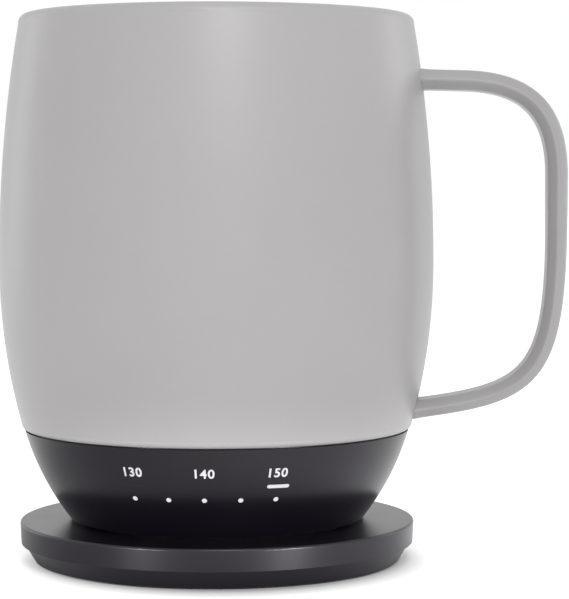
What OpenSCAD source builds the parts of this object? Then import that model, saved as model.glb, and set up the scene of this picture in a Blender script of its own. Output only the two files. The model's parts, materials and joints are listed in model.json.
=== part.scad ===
// Self-heating mug standing on its charging coaster.
// The origin is on the mug's axis at the coaster's underside, with +Z up, the handle towards +X,
// the lights towards -Y and the power inlet towards +Y. All sizes are in millimetres.
// Heights inside the mug are counted from its foot, which stands on the coaster's top.

/* [Mug body] */
// Outer diameter at the belly, the widest point
belly_d = 95; // [92:0.5:98]
// Height of the belly above the mug's foot
belly_h = 56; // [53:0.5:59]
// Distance by which the wall draws in from the belly to the rim
rim_inset = 4.75; // [3.5:0.05:6]
// Height of the mug above its foot
mug_h = 110.2; // [104:0.1:117]
// Thickness of the steel outer shell
shell_wall = 0.8; // [0.6:0.05:1]
// Thickness of the coated steel liner
liner_wall = 0.7; // [0.5:0.05:0.9]
// Empty space between shell and liner
vacuum_gap = 2.4; // [1.8:0.1:3]
// Radius of the corner between the cup's wall and its floor
floor_corner_r = 9; // [6:0.5:12]
// Radius of the turned-in lower edge of the shell
curl_r = 1.2; // [1:0.05:1.5]
// Distance by which a rolled edge stands proud of the wall
bead = 0.05; // [0.03:0.01:0.08]

/* [Handle] */
// Distance from the belly to the outside of the handle
handle_stand = 28.8; // [24:0.2:34]
// Distance from the rim down to the upper arm's centre line where it meets the shell
handle_drop = 14.1; // [12:0.1:18]
// Distance from the seam up to the lower arm's centre line where it meets the shell
handle_rise = 4.25; // [4:0.05:8]
// Width of the strap
handle_w = 13; // [10:0.5:16]
// Thickness of the strap
handle_t = 4.3; // [3.5:0.1:5]
// Thickness of the strap at its low end
handle_low_t = 3.8; // [3:0.1:5]
// Width of the bevel along each side of the strap
handle_bevel = 1.8; // [1:0.1:2.5]
// Length of the upper corner along the arm
top_corner_x = 20.3; // [15:0.1:24]
// Length of the upper corner down the grip
top_corner_z = 20.8; // [18:0.1:25]
// Length of the lower corner along the arm
low_corner_x = 30; // [24:0.1:30.4]
// Length of the lower corner up the grip
low_corner_z = 40.7; // [32:0.1:44]
// Downward slope of the upper arm, in degrees
top_slope = 1.5; // [0:0.1:4]
// Upward slope of the lower arm, in degrees
arm_slope = 7.7; // [4:0.1:14]

/* [Base collar] */
// Height of the seam between shell and collar above the mug's foot
seam_h = 20.2; // [19:0.1:21.5]
// Distance by which the shell draws in from the belly to the seam
seam_inset = 5; // [4:0.1:6]
// Distance by which the collar stands back from the shell
seam_step = 0.3; // [0.1:0.05:0.6]
// Open line between shell and collar
seam_gap = 0.3; // [0.2:0.05:0.5]
// Diameter of the collar's profile at the foot
foot_d = 63.6; // [60:0.2:67]
// Bulge of the collar's profile out of a straight line
collar_bulge = 1.12; // [0.6:0.01:2]
// Thickness of the collar's wall
base_wall = 2.2; // [1.8:0.1:2.6]
// Width of the collar's lower rim round the bottom cover
base_rim_w = 2.7; // [2.2:0.1:3.2]
// Height of the collar's sleeve inside the shell
sleeve_h = 4.4; // [3.6:0.1:5]
// Thickness of the collar's sleeve
sleeve_t = 1.6; // [1.2:0.1:2]
// Width of the collar's inner ledge
ledge_w = 5.5; // [5:0.1:6]
// Thickness of the collar's inner ledge
ledge_t = 1.6; // [1.2:0.1:2]
// Thickness of the ring that seals the sleeve in the shell
seam_ring_d = 1.2; // [1.1:0.05:1.4]
// Depth of that ring's groove in the sleeve
seam_groove = 0.3; // [0.2:0.05:0.5]

/* [Lights] */
// Height of the row of dots above the mug's foot
dot_h = 9; // [8.5:0.1:10]
// Diameter of a dot
dot_d = 1.05; // [0.8:0.05:1.5]
// Angle between neighbouring dots, in degrees
dot_pitch = 11.3; // [9:0.1:13]
// Number of dots
dot_count = 5; // [3:2:7]
// Height of the bars above the mug's foot
bar_h = 11.85; // [11.3:0.05:13]
// Length of a bar
bar_l = 4.8; // [3:0.1:6]
// Width of a bar
bar_w = 0.8; // [0.6:0.05:1.1]
// Number of dots from one bar to the next
bar_every = 2; // [2:1:2]
// Thickness of the light guide
guide_t = 1.6; // [1.2:0.1:2]
// Reach of the light guide past the outer dots, in degrees
guide_past = 6; // [4:0.5:8]
// Reach of the light guide below the dots and above the bars
guide_margin = 2.2; // [1.6:0.1:2.6]
// Height of a light-emitting diode
led_t = 0.8; // [0.6:0.05:1]
// Side of a light-emitting diode
led_w = 1.5; // [1:0.1:1.8]
// Thickness of the lights' flexible board
flex_t = 0.3; // [0.2:0.05:0.5]
// Width of a flexible tail
tail_w = 8; // [5:0.5:10]
// Distance from the light guide's top edge down to the flexible tail
tail_drop = 1; // [0.6:0.1:1.4]

/* [Power button] */
// Diameter of the button's cap
button_d = 9; // [8:0.2:10]
// Height of the button's centre above the mug's foot
button_h = 10.6; // [10:0.1:11.5]
// Depth of the finger dish in the cap
button_dish = 0.35; // [0.2:0.05:0.5]
// Travel of the button
button_travel = 0.5; // [0.3:0.05:0.7]
// Radial running gap round the cap
button_gap = 0.12; // [0.08:0.01:0.2]
// Thickness of the button's flange
button_flange_t = 0.9; // [0.7:0.05:1.2]
// Width of the button's flange
button_flange_w = 1.1; // [0.8:0.05:1.4]
// Thickness of the button's sealing ring
button_ring_d = 0.55; // [0.4:0.05:0.7]
// Depth of the flange's seat in the inside of the collar's wall
seat_cut = 0.2; // [0.1:0.05:0.4]
// Space left behind the flange when the button is pressed
press_air = 0.1; // [0.05:0.05:0.2]
// Width by which the button's stem is wider than the plunger
stem_margin = 0.5; // [0.3:0.1:0.8]
// Diameter of the switch plunger
plunger_d = 2; // [1.6:0.1:2.6]
// Length of the switch plunger
plunger_l = 2; // [1.8:0.1:2.6]
// Side of the switch housing
switch_w = 6; // [5:0.1:6.5]
// Thickness of the switch housing
switch_t = 2.4; // [2.2:0.1:3]
// Space left between the button's stem and the switch housing when the button is pressed
switch_air = 0.25; // [0.15:0.05:0.4]
// Margin of the switch board above and below the switch
switch_margin = 1; // [0.6:0.1:1.4]
// Diameter of the posts behind the button
switch_post_d = 3.6; // [3:0.1:4]
// Diameter of the switch board's screws
switch_screw_d = 1.4; // [1.2:0.1:1.8]
// Height of those screws' heads
switch_head_t = 0.9; // [0.7:0.1:1.1]
// Length of those screws in the posts
switch_grip = 3; // [2.4:0.1:3.4]

/* [Heating] */
// Thickness of the aluminium heat spreader
spreader_t = 1.4; // [1:0.1:2]
// Thickness of the heater film
heater_t = 0.4; // [0.3:0.05:0.6]
// Thickness of the insulation pad
pad_t = 2; // [1.5:0.1:3]
// Diameter of the temperature sensor
sensor_d = 4; // [3:0.1:5]
// Thickness of the ring that closes the vacuum jacket
jacket_ring_t = 0.6; // [0.5:0.05:0.8]
// Height of that ring's flange on the shell
jacket_flange = 3; // [2:0.1:4]
// Distance from the cup's corner in to that ring's neck
jacket_inset = 2.1; // [1.6:0.1:2.6]
// Gap between that ring's neck and the heater
heater_gap = 1; // [0.8:0.1:2]
// Distance from the heater's edge in to its leads
lead_inset = 4; // [3:0.1:6]

/* [Power pack] */
// Diameter of a battery cell
cell_d = 18.3; // [17:0.1:19]
// Length of a battery cell, with its nub
cell_l = 49.5; // [47:0.5:51]
// Gap between the two cells
cell_gap = 2.2; // [2:0.1:3]
// Thickness of the cradle's plate
cradle_t = 1.4; // [1.2:0.1:1.8]
// Thickness of the cradle under a cell
cradle_web = 0.6; // [0.4:0.05:0.9]
// Diameter of the cradle's posts
post_d = 4.6; // [4.4:0.1:5]
// Gap between the cells and the control board
board_gap = 0.5; // [0.3:0.1:1]
// Width of the control board outside its posts
board_edge = 0.8; // [0.6:0.1:1.8]
// Thickness of a circuit board
board_t = 1; // [0.8:0.1:1.6]
// Thickness of a nickel tab
tab_t = 0.3; // [0.2:0.05:0.4]
// Diameter of a wire lead
lead_d = 1.2; // [0.8:0.1:1.6]
// Height of a nickel tab
tab_h = 7; // [6:0.5:8]
// Diameter of a cell's nub
nub_d = 6; // [5:0.1:7]
// Length of a cell's nub
nub_l = 0.6; // [0.4:0.05:0.8]
// Thickness of the cradle's end stops
stop_t = 1.4; // [1:0.1:1.8]
// Distance from a cell's end to the end of the cradle's rails
rail_inset = 4; // [3:0.1:6]
// Diameter of the board's screws
post_screw_d = 1.8; // [1.4:0.1:2]
// Length of those screws in the posts
post_screw_l = 5; // [4:0.1:6]

/* [Bottom of the mug] */
// Thickness of the bottom cover
cover_t = 2.8; // [2.6:0.1:3.2]
// Height of the silicone foot ring
foot_t = 1.6; // [1.4:0.05:1.8]
// Distance by which the foot ring stands out of the cover
foot_proud = 0.6; // [0.4:0.05:0.8]
// Width of the silicone foot ring
foot_w = 4.4; // [4.2:0.1:4.6]
// Depth of the docking recess
dock_depth = 1.3; // [1.2:0.05:1.5]
// Middle radius of the inner contact ring
inner_ring_r = 5; // [4.5:0.1:6]
// Middle radius of the outer contact ring
outer_ring_r = 12.5; // [11:0.1:14]
// Width of a contact ring
ring_w = 3; // [2.5:0.1:3.5]
// Thickness of a contact ring
ring_t = 0.4; // [0.3:0.05:0.6]
// Thickness of the cover's seal
seal_t = 0.5; // [0.4:0.05:0.7]
// Diameter of the cover's screws
cover_screw_d = 2.2; // [2:0.1:2.4]
// Height of a screw's head
screw_head_t = 1; // [0.8:0.05:1.1]
// Distance from the collar's bore in to the cover's screws
screw_edge = 3; // [2.8:0.1:3.2]
// Length of the cover's screws in the cradle
cover_screw_grip = 6; // [5:0.1:7]
// Width of the cover outside the foot ring
cover_edge = 0.6; // [0.4:0.05:0.8]
// Width of the cover between the foot ring and the docking recess
recess_edge = 1.2; // [0.8:0.1:1.6]

/* [Coaster] */
// Diameter of the coaster
coaster_d = 86.6; // [84:0.2:92]
// Height of the coaster
coaster_h = 8.9; // [8.5:0.1:10]
// Height of the line between the coaster's two shells
split_h = 2.3; // [2.2:0.05:3.1]
// Radius of the upper shell's lower edge
under_r = 1.8; // [1:0.1:2.2]
// Radius of the upper shell's top edge
edge_r = 0.4; // [0.3:0.05:0.6]
// Thickness of the coaster's top
coaster_top_t = 1.2; // [1:0.1:1.4]
// Thickness of the coaster's side
coaster_side_t = 2.4; // [2.2:0.1:2.8]
// Diameter of the lower shell where it meets the upper one
lower_d = 82; // [81.8:0.1:83]
// Diameter of the lower shell at its underside
lower_foot_d = 78.6; // [78:0.2:81]
// Thickness of the lower shell's floor
lower_floor_t = 1; // [0.8:0.1:1.2]
// Diameter of the silicone foot
mat_d = 76.4; // [72:0.2:77]
// Thickness of the silicone foot
mat_t = 1; // [0.9:0.05:1.1]
// Distance by which the silicone foot stands out of the lower shell
mat_proud = 0.3; // [0.2:0.05:0.5]
// Radial play of the coaster's boss in the docking recess
dock_play = 1; // [0.6:0.1:1.5]
// Thickness of the lower shell's locating rim
rim_t = 1.4; // [1.2:0.1:1.6]
// Height of the lower shell's locating rim
rim_h = 1.9; // [1.4:0.1:2.4]
// Radius of the coaster's board
tray_r = 17; // [16:0.5:20]
// Height of the coaster's board above the lower shell's floor
tray_gap = 0.5; // [0.3:0.05:0.6]
// Margin of the coaster's board beside the inlet
tray_margin = 2; // [1:0.1:3]
// Diameter of the posts under the coaster's board
tray_post_d = 4; // [3:0.1:5]
// Distance from the axis to the coaster's screws
coaster_screw_r = 33; // [30:0.5:34]
// Diameter of the posts round the coaster's screws
coaster_post_d = 6.6; // [6:0.1:7.2]
// Wall of the upper shell's bosses round those screws
boss_wall = 1.5; // [1.2:0.1:1.8]
// Height of those screws' head pockets above the silicone foot
screw_pocket_h = 1.2; // [1:0.1:1.4]
// Height of the posts above the line between the two shells
post_rise = 1.3; // [1:0.1:1.6]
// Diameter of the coaster's screws
coaster_screw_d = 1.8; // [1.6:0.1:2.2]

/* [Charging pins] */
// Diameter of a pin
pin_d = 1.8; // [1.4:0.1:2.2]
// Diameter of a pin's flange
pin_flange_d = 2.5; // [2.4:0.1:2.8]
// Thickness of a pin's flange
pin_flange_t = 0.6; // [0.4:0.05:0.8]
// Travel of a pin
pin_travel = 0.5; // [0.3:0.05:0.8]
// Gap between a pin and its contact ring at rest
pin_air = 0.1; // [0.05:0.01:0.2]
// Wall of a pin's barrel
barrel_wall = 0.4; // [0.3:0.05:0.5]
// Height of a barrel's turned-in lip
barrel_lip = 0.4; // [0.3:0.05:0.5]
// Thickness of a barrel's floor
barrel_floor_t = 0.5; // [0.4:0.05:0.7]
// Distance from the coaster's top down to a barrel's top
barrel_drop = 0.2; // [0.1:0.05:0.3]
// Play between a pin's flange and the lip above it
flange_play = 0.1; // [0.05:0.01:0.15]
// Radial running gap of a pin in its barrel
pin_gap = 0.08; // [0.05:0.01:0.1]
// Diameter of a pin's spring wire
wire_d = 0.24; // [0.18:0.02:0.28]
// Number of turns of a pin's spring
turns = 6; // [5:1:6]

/* [Power inlet] */
// Diameter of the inlet's mouth
inlet_d = 3.6; // [3.4:0.1:3.8]
// Diameter of the inlet's centre pin
inlet_pin_d = 1.3; // [1:0.05:1.4]
// Length of the inlet's centre pin
inlet_pin_l = 5; // [4:0.1:6]
// Diameter of that pin's root in the housing
inlet_root_d = 1.7; // [1.5:0.05:2]
// Thickness of the housing's back wall
inlet_wall = 2; // [1.5:0.1:2.5]
// Gap round a plug in the coaster's side
inlet_play = 0.2; // [0.1:0.05:0.3]
// Width of the inlet's housing
inlet_w = 6; // [5.6:0.1:7]
// Length of the inlet's housing
inlet_l = 9; // [8:0.1:11]
// Height of the inlet's axis above the table
inlet_h = 5.2; // [5.15:0.01:5.25]

/* [Fits] */
// Gap all round a piece that drops into its place
fit = 0.15; // [0.1:0.01:0.2]
// Gap between pieces that are bonded or pressed together
touch = 0.02; // [0.01:0.01:0.05]

/* [Hidden] */

// Steps round a large circle, a profile arc and a small part
round_fn = 240;
arc_fn = 1440;
small_fn = 48;
$fn = small_fn;
// A length past every solid, for cutting
far = 2 * (mug_h + belly_d);
// Overlap of two shapes that are joined or cut
bite = 0.5;

// Profile arcs of the barrel, each as [centre x, centre height, radius]
upper_arc = crown_arc(belly_d / 2, belly_h, rim_inset, mug_h - belly_h);
lower_arc = crown_arc(belly_d / 2, belly_h, seam_inset, belly_h - seam_h);
collar_r = belly_d / 2 - seam_inset - seam_step;
collar_top = seam_h - seam_gap;
chord_tilt = atan2(collar_r - foot_d / 2, seam_h);
chord_l = norm([collar_r - foot_d / 2, seam_h]);
base_arc_r = (pow(chord_l / 2, 2) + pow(collar_bulge, 2)) / (2 * collar_bulge);
base_arc = [
    (collar_r + foot_d / 2) / 2 - (base_arc_r - collar_bulge) * cos(chord_tilt),
    seam_h / 2 + (base_arc_r - collar_bulge) * sin(chord_tilt),
    base_arc_r
];

// Rolled rim, whose circle touches the shell's outside and the cup's inside
cup_inset = shell_wall + vacuum_gap + liner_wall;
lip_r = cup_inset / 2;
lip_tilt = asin((mug_h - lip_r - belly_h) / (upper_arc.z - lip_r));
lip_at = along(upper_arc, upper_arc.z - lip_r, lip_tilt);
curl_tilt = asin((belly_h - seam_h - curl_r) / (lower_arc.z - curl_r));
curl_at = along(lower_arc, lower_arc.z - curl_r, -curl_tilt);

// Heights of the stack inside the base
cover_top = foot_proud + cover_t;
contact_h = foot_proud + dock_depth;
ledge_top = cover_top + ledge_t;
cell_h = ledge_top + cradle_web + fit + cell_d / 2;
board_h = cell_h + cell_d / 2 + board_gap;
board_top = board_h + board_t;
pad_h = board_top + screw_head_t + fit;
heater_h = pad_h + pad_t;
spreader_h = heater_h + heater_t;
liner_under = spreader_h + spreader_t;
floor_h = liner_under + liner_wall;

// Corner of the cup, whose circle touches the wall and the floor
corner_h = floor_h + floor_corner_r;
corner_reach = lower_arc.z - cup_inset - floor_corner_r + bead;
corner_tilt = asin((belly_h - corner_h) / corner_reach);
corner_at = along(lower_arc, corner_reach, -corner_tilt);

// Radii inside the base
bore_r = arc_x(base_arc, foot_proud) - base_rim_w;
cover_r = bore_r - fit;
ledge_in_r = bore_r - ledge_w;
screw_r = bore_r - screw_edge;
foot_out_r = cover_r - cover_edge;
foot_in_r = foot_out_r - foot_w;
recess_r = foot_in_r - recess_edge;
boss_r = recess_r - dock_play;
sleeve_r = curl_at.x - fit;
seam_ring_at = sleeve_r - seam_groove + touch + seam_ring_d / 2;
seam_ring_h = arc_h(lower_arc, seam_ring_at, shell_wall + touch + seam_ring_d / 2);
jacket_in_r = corner_at.x - jacket_inset;
heater_r = jacket_in_r - heater_gap;

// Layers behind the collar's wall at the lights
guide_inset = base_wall + fit;
led_inset = guide_inset + guide_t + touch;
flex_inset = led_inset + led_t + touch;
guide_half = dot_pitch * (dot_count - 1) / 2 + guide_past;
guide_h0 = dot_h - guide_margin;
guide_h1 = bar_h + guide_margin;
tail_h = guide_h1 - tail_drop;

// Depths behind the collar's outside at the button
seat_d = base_wall - seat_cut;
flange_d = seat_d + touch;
stem_d = flange_d + button_flange_t;
stem_l = button_travel + press_air;
plunger_at = stem_d + stem_l + touch;
switch_at = plunger_at + button_travel + switch_air;
switch_board_at = switch_at + switch_t;
button_bore_r = button_d / 2 + button_gap;
flange_r = button_d / 2 + button_flange_w;
seat_r = flange_r + 2 * fit;
switch_post_y = seat_r + switch_post_d / 2 + fit;
switch_board_w = 2 * switch_post_y + switch_post_d;
switch_board_l = switch_w + 2 * switch_margin;

// Places of the cradle's posts, on the circle of the cover's screws
cell_x = (cell_d + cell_gap) / 2;
post_x = cell_x + cell_d / 2 + 2 * fit + post_d / 2;
post_y = sqrt(screw_r * screw_r - post_x * post_x);
board_r = screw_r + post_d / 2 + board_edge;
stop_y = cell_l / 2 + tab_t + fit;

// Coaster
lid_under = coaster_h - coaster_top_t;
side_in_r = coaster_d / 2 - coaster_side_t;
rim_out_r = side_in_r - fit;
mat_top = mat_t;
lower_floor = mat_top + lower_floor_t;
tray_h = lower_floor + tray_gap;
tray_top = tray_h + board_t;
tray_w = inlet_w + 2 * tray_margin;
screw_seat = mat_top + screw_pocket_h;
coaster_post_top = split_h + post_rise;
coaster_angles = [30, 150, 270];

// Charging pins
pin_tip = coaster_h + contact_h - pin_air;
boss_top = pin_tip - pin_travel - pin_air;
barrel_r = pin_flange_d / 2 + pin_gap + barrel_wall;
barrel_top = coaster_h - barrel_drop;
flange_top = barrel_top - barrel_lip - flange_play;
flange_low = flange_top - pin_flange_t;
barrel_floor = tray_top + barrel_floor_t;
spring_low = barrel_floor + touch;
spring_high = flange_low - touch;
spring_r = pin_flange_d / 2 - wire_d / 2 - pin_gap;
inner_pin_at = [-inner_ring_r, 0];
outer_pin_at = [outer_ring_r, 0];

// Power inlet
inlet_low = lower_floor + touch;
inlet_high = lid_under - touch;
inlet_front = rim_out_r - rim_t - fit;
inlet_back = inlet_front - inlet_l;
inlet_hole_d = inlet_d + 2 * inlet_play;

// Handle's centre line
grip_x = belly_d / 2 + handle_stand - handle_t / 2;
arm_top = mug_h - handle_drop;
top_root_x = arc_x(upper_arc, arm_top);
top_end_x = grip_x - top_corner_x;
top_end = [top_end_x, arm_top - (top_end_x - top_root_x) * tan(top_slope)];
arm_root = seam_h + handle_rise;
root_x = arc_x(lower_arc, arm_root);
low_end_x = grip_x - low_corner_x;
low_end = [low_end_x, arm_root + (low_end_x - root_x) * tan(arm_slope)];
top_pull = 0.69;
low_pull = 0.84;
arm_steps = 3;
corner_steps = 14;

// Colours
coat_grey = "#b3b0ab";
cup_white = "#efece6";
steel = "#c9c9c6";
satin_black = "#26262a";
silicone = "#3a3a3d";
glow = "#f7f7f2";
board_green = "#1f5a3c";
copper = "#b87333";
nickel = "#c8c6c0";
gold = "#d4af57";
cell_blue = "#3c6ea5";
film_amber = "#c58a32";

// Arc that leaves a crown point upright and draws in by an inset over a rise
function crown_arc(crown_x, crown_h, inset, rise) =
    let (r = (rise * rise + inset * inset) / (2 * inset))
    [crown_x - r, crown_h, r];

// Point at a distance and an angle from an arc's centre
function along(arc, reach, angle) = [arc.x + reach * cos(angle), arc.y + reach * sin(angle)];

// Radius and downward tilt of an arc's surface at a height, inset along its normal
function arc_x(arc, h, inset = 0) = arc.x + sqrt(pow(arc.z - inset, 2) - pow(arc.y - h, 2));
function arc_tilt(arc, h) = asin((arc.y - h) / arc.z);

// Height of the lower part of an arc's surface at a radius, inset along its normal
function arc_h(arc, x, inset) = arc.y - sqrt(pow(arc.z - inset, 2) - pow(x - arc.x, 2));

// Angle by which a rolled edge laps the wall that it grows from
function lap(r, wall) = (acos(r / (r + bead)) + acos((r - wall) / (r - wall + bead))) / 2;

// Point behind the collar at the button, a depth inside and a distance up its face
function behind(depth, up) =
    let (tilt = arc_tilt(base_arc, button_h))
    [
        arc_x(base_arc, button_h) - depth * cos(tilt) + up * sin(tilt),
        button_h + depth * sin(tilt) + up * cos(tilt)
    ];

// Point on a cubic curve
function curve_at(p, t) =
    pow(1 - t, 3) * p[0] + 3 * pow(1 - t, 2) * t * p[1] + 3 * (1 - t) * t * t * p[2] + t * t * t * p[3];

// Handle's centre line from inside the shell at the top to inside the shell at the bottom
function handle_path() =
    let (
        top_arm = [cos(top_slope), -sin(top_slope)],
        top_start = top_end - top_arm * (top_end.x - top_root_x + 2 * handle_t) / top_arm.x,
        grip_high = [grip_x, top_end.y - top_corner_z],
        grip_low = [grip_x, low_end.y + low_corner_z],
        arm = [cos(arm_slope), sin(arm_slope)],
        low_start = low_end - arm * (low_end.x - root_x + 2 * handle_t) / arm.x,
        upper = [
            top_end,
            top_end + top_pull * top_corner_x * top_arm,
            grip_high + [0, top_pull * top_corner_z],
            grip_high
        ],
        lower = [
            grip_low,
            grip_low - [0, low_pull * low_corner_z],
            low_end + low_pull * low_corner_x * arm,
            low_end
        ]
    )
    concat(
        [for (i = [0 : arm_steps - 1]) top_start + (top_end - top_start) * i / arm_steps],
        [for (i = [0 : corner_steps - 1]) curve_at(upper, i / corner_steps)],
        [for (i = [0 : arm_steps - 1]) grip_high + (grip_low - grip_high) * i / arm_steps],
        [for (i = [0 : corner_steps - 1]) curve_at(lower, i / corner_steps)],
        [for (i = [0 : arm_steps]) low_end + (low_start - low_end) * i / arm_steps]
    );

// Strap's section, a flat six-sided lens with eased edges, as [across, through] points
function strap_section() =
    let (
        w = handle_w / 2,
        t = handle_t / 2,
        quarter = [
            [w, 0.12 * t],
            [w - 0.35 * handle_bevel, 0.5 * t],
            [w - 0.85 * handle_bevel, 0.9 * t],
            [w - 1.5 * handle_bevel, t]
        ],
        last = len(quarter) - 1
    )
    concat(
        quarter,
        [for (i = [last : -1 : 0]) [-quarter[i].x, quarter[i].y]],
        [for (q = quarter) -q],
        [for (i = [last : -1 : 0]) [quarter[i].x, -quarter[i].y]]
    );

// Share of the strap's full section at a height: it thins from the top of the grip to the low arm
function strap_share(h) =
    let (
        grip_top = top_end.y - top_corner_z,
        fall = min(max((grip_top - h) / (grip_top - low_end.y), 0), 1)
    )
    1 + (handle_low_t / handle_t - 1) * fall;

// Solid swept along a path in the XZ plane, with its section at each point
module sweep_xz(path, sections) {
    n = len(sections[0]);
    last = len(path) - 1;
    rings = [
        for (i = [0 : last])
            let (
                ahead = path[min(i + 1, last)] - path[max(i - 1, 0)],
                side = [-ahead.y, ahead.x] / norm(ahead)
            )
            for (s = sections[i]) [path[i].x + side.x * s.y, s.x, path[i].y + side.y * s.y]
    ];
    walls = [
        for (i = [0 : last - 1], j = [0 : n - 1])
            let (a = i * n + j, b = i * n + (j + 1) % n)
            for (face = [[a, a + n, b + n], [a, b + n, b]]) face
    ];
    caps = [
        [for (j = [0 : n - 1]) j],
        [for (j = [n - 1 : -1 : 0]) last * n + j]
    ];
    polyhedron(points = rings, faces = concat(walls, caps), convexity = 6);
}

// Round wire wound from a low height to a high one
module coil(radius, low, high, count) {
    sides = 6;
    steps = 8 * count;
    climb = (high - low - wire_d) / steps;
    points = [
        for (i = [0 : steps], j = [0 : sides - 1])
            let (
                turn = 360 * count * i / steps,
                around = 360 * j / sides,
                r = radius + wire_d / 2 * cos(around)
            )
            [r * cos(turn), r * sin(turn), low + wire_d / 2 + climb * i + wire_d / 2 * sin(around)]
    ];
    walls = [
        for (i = [0 : steps - 1], j = [0 : sides - 1])
            let (a = i * sides + j, b = i * sides + (j + 1) % sides)
            for (face = [[a, b, b + sides], [a, b + sides, a + sides]]) face
    ];
    caps = [
        [for (j = [sides - 1 : -1 : 0]) j],
        [for (j = [0 : sides - 1]) steps * sides + j]
    ];
    polyhedron(points = points, faces = concat(walls, caps), convexity = 2 * count);
}

// Places the mug's pieces on the coaster
module docked() {
    translate([0, 0, coaster_h]) children();
}

// Places a piece square to the collar's outside, with its own Z pointing out of the mug
module on_base(azimuth, h) {
    rotate([0, 0, azimuth])
        translate([arc_x(base_arc, h), 0, h])
            rotate([0, 90 + arc_tilt(base_arc, h), 0])
                children();
}

// Places a piece at a depth behind the button
module behind_button(depth) {
    on_base(0, button_h) translate([0, 0, -depth]) children();
}

// Stretch of wall between two insets of an arc and two angles about its centre
module arc_wall(arc, inset0, inset1, angle0, angle1) {
    translate([arc.x, arc.y])
        intersection() {
            difference() {
                circle(arc.z - inset0, $fn = arc_fn);
                circle(arc.z - inset1, $fn = arc_fn);
            }
            polygon([
                [0, 0],
                far * 4 * [cos(angle0), sin(angle0)],
                far * 4 * [cos(angle1), sin(angle1)]
            ]);
        }
}

// Region inside the cup below the belly, grown all round
module lower_cup(grow) {
    wall_r = lower_arc.z - cup_inset + grow;
    bend_r = floor_corner_r + grow;
    bend_h = belly_h - wall_r * sin(corner_tilt);
    intersection() {
        translate([lower_arc.x, lower_arc.y]) circle(wall_r, $fn = arc_fn);
        translate([0, bend_h]) square([far, belly_h - bend_h]);
    }
    translate(corner_at) circle(bend_r, $fn = round_fn);
    translate([0, corner_at.y - bend_r]) square([corner_at.x, bend_r]);
}

// Region inside the collar's profile between two heights
module base_region(inset, h0, h1) {
    intersection() {
        translate([base_arc.x, base_arc.y]) circle(base_arc.z - inset, $fn = arc_fn);
        translate([0, h0]) square([far, h1 - h0]);
    }
}

// Curved layer behind the lights, between two insets and two heights
module front_layer(inset0, inset1, h0, h1) {
    rotate([0, 0, -90 - guide_half])
        rotate_extrude(angle = 2 * guide_half, $fn = round_fn)
            difference() {
                base_region(inset0, h0, h1);
                base_region(inset1, h0 - bite, h1 + bite);
            }
}

// Flat strip between two points of an upright plane at an azimuth
module strip(azimuth, from, to, width) {
    ahead = (to - from) / norm(to - from);
    side = [ahead.y, -ahead.x] * flex_t;
    rotate([0, 0, azimuth])
        rotate([90, 0, 0])
            linear_extrude(width, center = true)
                polygon([from, to, [to.x + side.x, to.y], from + side]);
}

// Disc profile with a rounded lower and upper edge
module disc_profile(r, h0, h1, low_r, high_r) {
    translate([0, h0 + low_r]) square([r, h1 - h0 - low_r - high_r]);
    translate([0, h0]) square([r - low_r, low_r + bite]);
    translate([0, h1 - high_r - bite]) square([r - high_r, high_r + bite]);
    translate([r - low_r, h0 + low_r]) circle(low_r);
    translate([r - high_r, h1 - high_r]) circle(high_r);
}

// Rectangle between two radii and two heights
module band(r0, r1, h0, h1) {
    translate([r0, h0]) square([r1 - r0, h1 - h0]);
}

// Upright cylinder between two heights
module bar(d, h0, h1) {
    translate([0, 0, h0]) cylinder(d = d, h = h1 - h0);
}

// Copies its child at each of the cradle's posts
module at_posts() {
    for (x = [-post_x, post_x], y = [-post_y, post_y]) translate([x, y, 0]) children();
}

// Places the dots' and the bars' shapes square to the collar
module at_dots() {
    for (i = [0 : dot_count - 1]) on_base(-90 + (i - (dot_count - 1) / 2) * dot_pitch, dot_h) children();
}

module at_bars() {
    for (i = [0 : bar_every : dot_count - 1])
        on_base(-90 + (i - (dot_count - 1) / 2) * dot_pitch, bar_h) children();
}

// Round-ended bar standing on the collar's surface, grown all round by a gap
module bar_shape(gap, depth) {
    w = bar_w + 2 * gap;
    straight = bar_l - bar_w;
    translate([-w / 2, -straight / 2, -depth]) cube([w, straight, depth + bite]);
    for (y = [-straight / 2, straight / 2]) translate([0, y, -depth]) cylinder(d = w, h = depth + bite);
}

// Cells' places, with each one's own Z along +Y
module at_cells() {
    for (x = [-cell_x, cell_x]) translate([x, 0, cell_h]) rotate([-90, 0, 0]) children();
}

// Screw with a pan head that starts at a height and a shank that goes on from it
module screw(d, head_d, head_t, length) {
    cylinder(d = head_d, h = head_t);
    translate([0, 0, head_t - touch]) cylinder(d = d, h = length + touch);
}

module outer_shell() {
    lip = [lip_at.x, lip_at.y, lip_r + bead];
    curl = [curl_at.x, curl_at.y, curl_r + bead];
    color(coat_grey) docked() rotate_extrude($fn = round_fn) {
        arc_wall(upper_arc, 0, shell_wall, 0, lip_tilt);
        arc_wall(lower_arc, 0, shell_wall, -curl_tilt, 0);
        arc_wall(lip, 0, shell_wall, lip_tilt - lap(lip_r, shell_wall), lip_tilt + 90);
        arc_wall(lip, 0, shell_wall, lip_tilt + 90, lip_tilt + 180);
        arc_wall(curl, 0, shell_wall, -90, -curl_tilt + lap(curl_r, shell_wall));
    }
}

module inner_liner() {
    color(cup_white) docked() rotate_extrude($fn = round_fn) {
        arc_wall(upper_arc, cup_inset - liner_wall, cup_inset, 0, lip_tilt);
        difference() {
            lower_cup(liner_wall);
            lower_cup(0);
        }
    }
}

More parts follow.
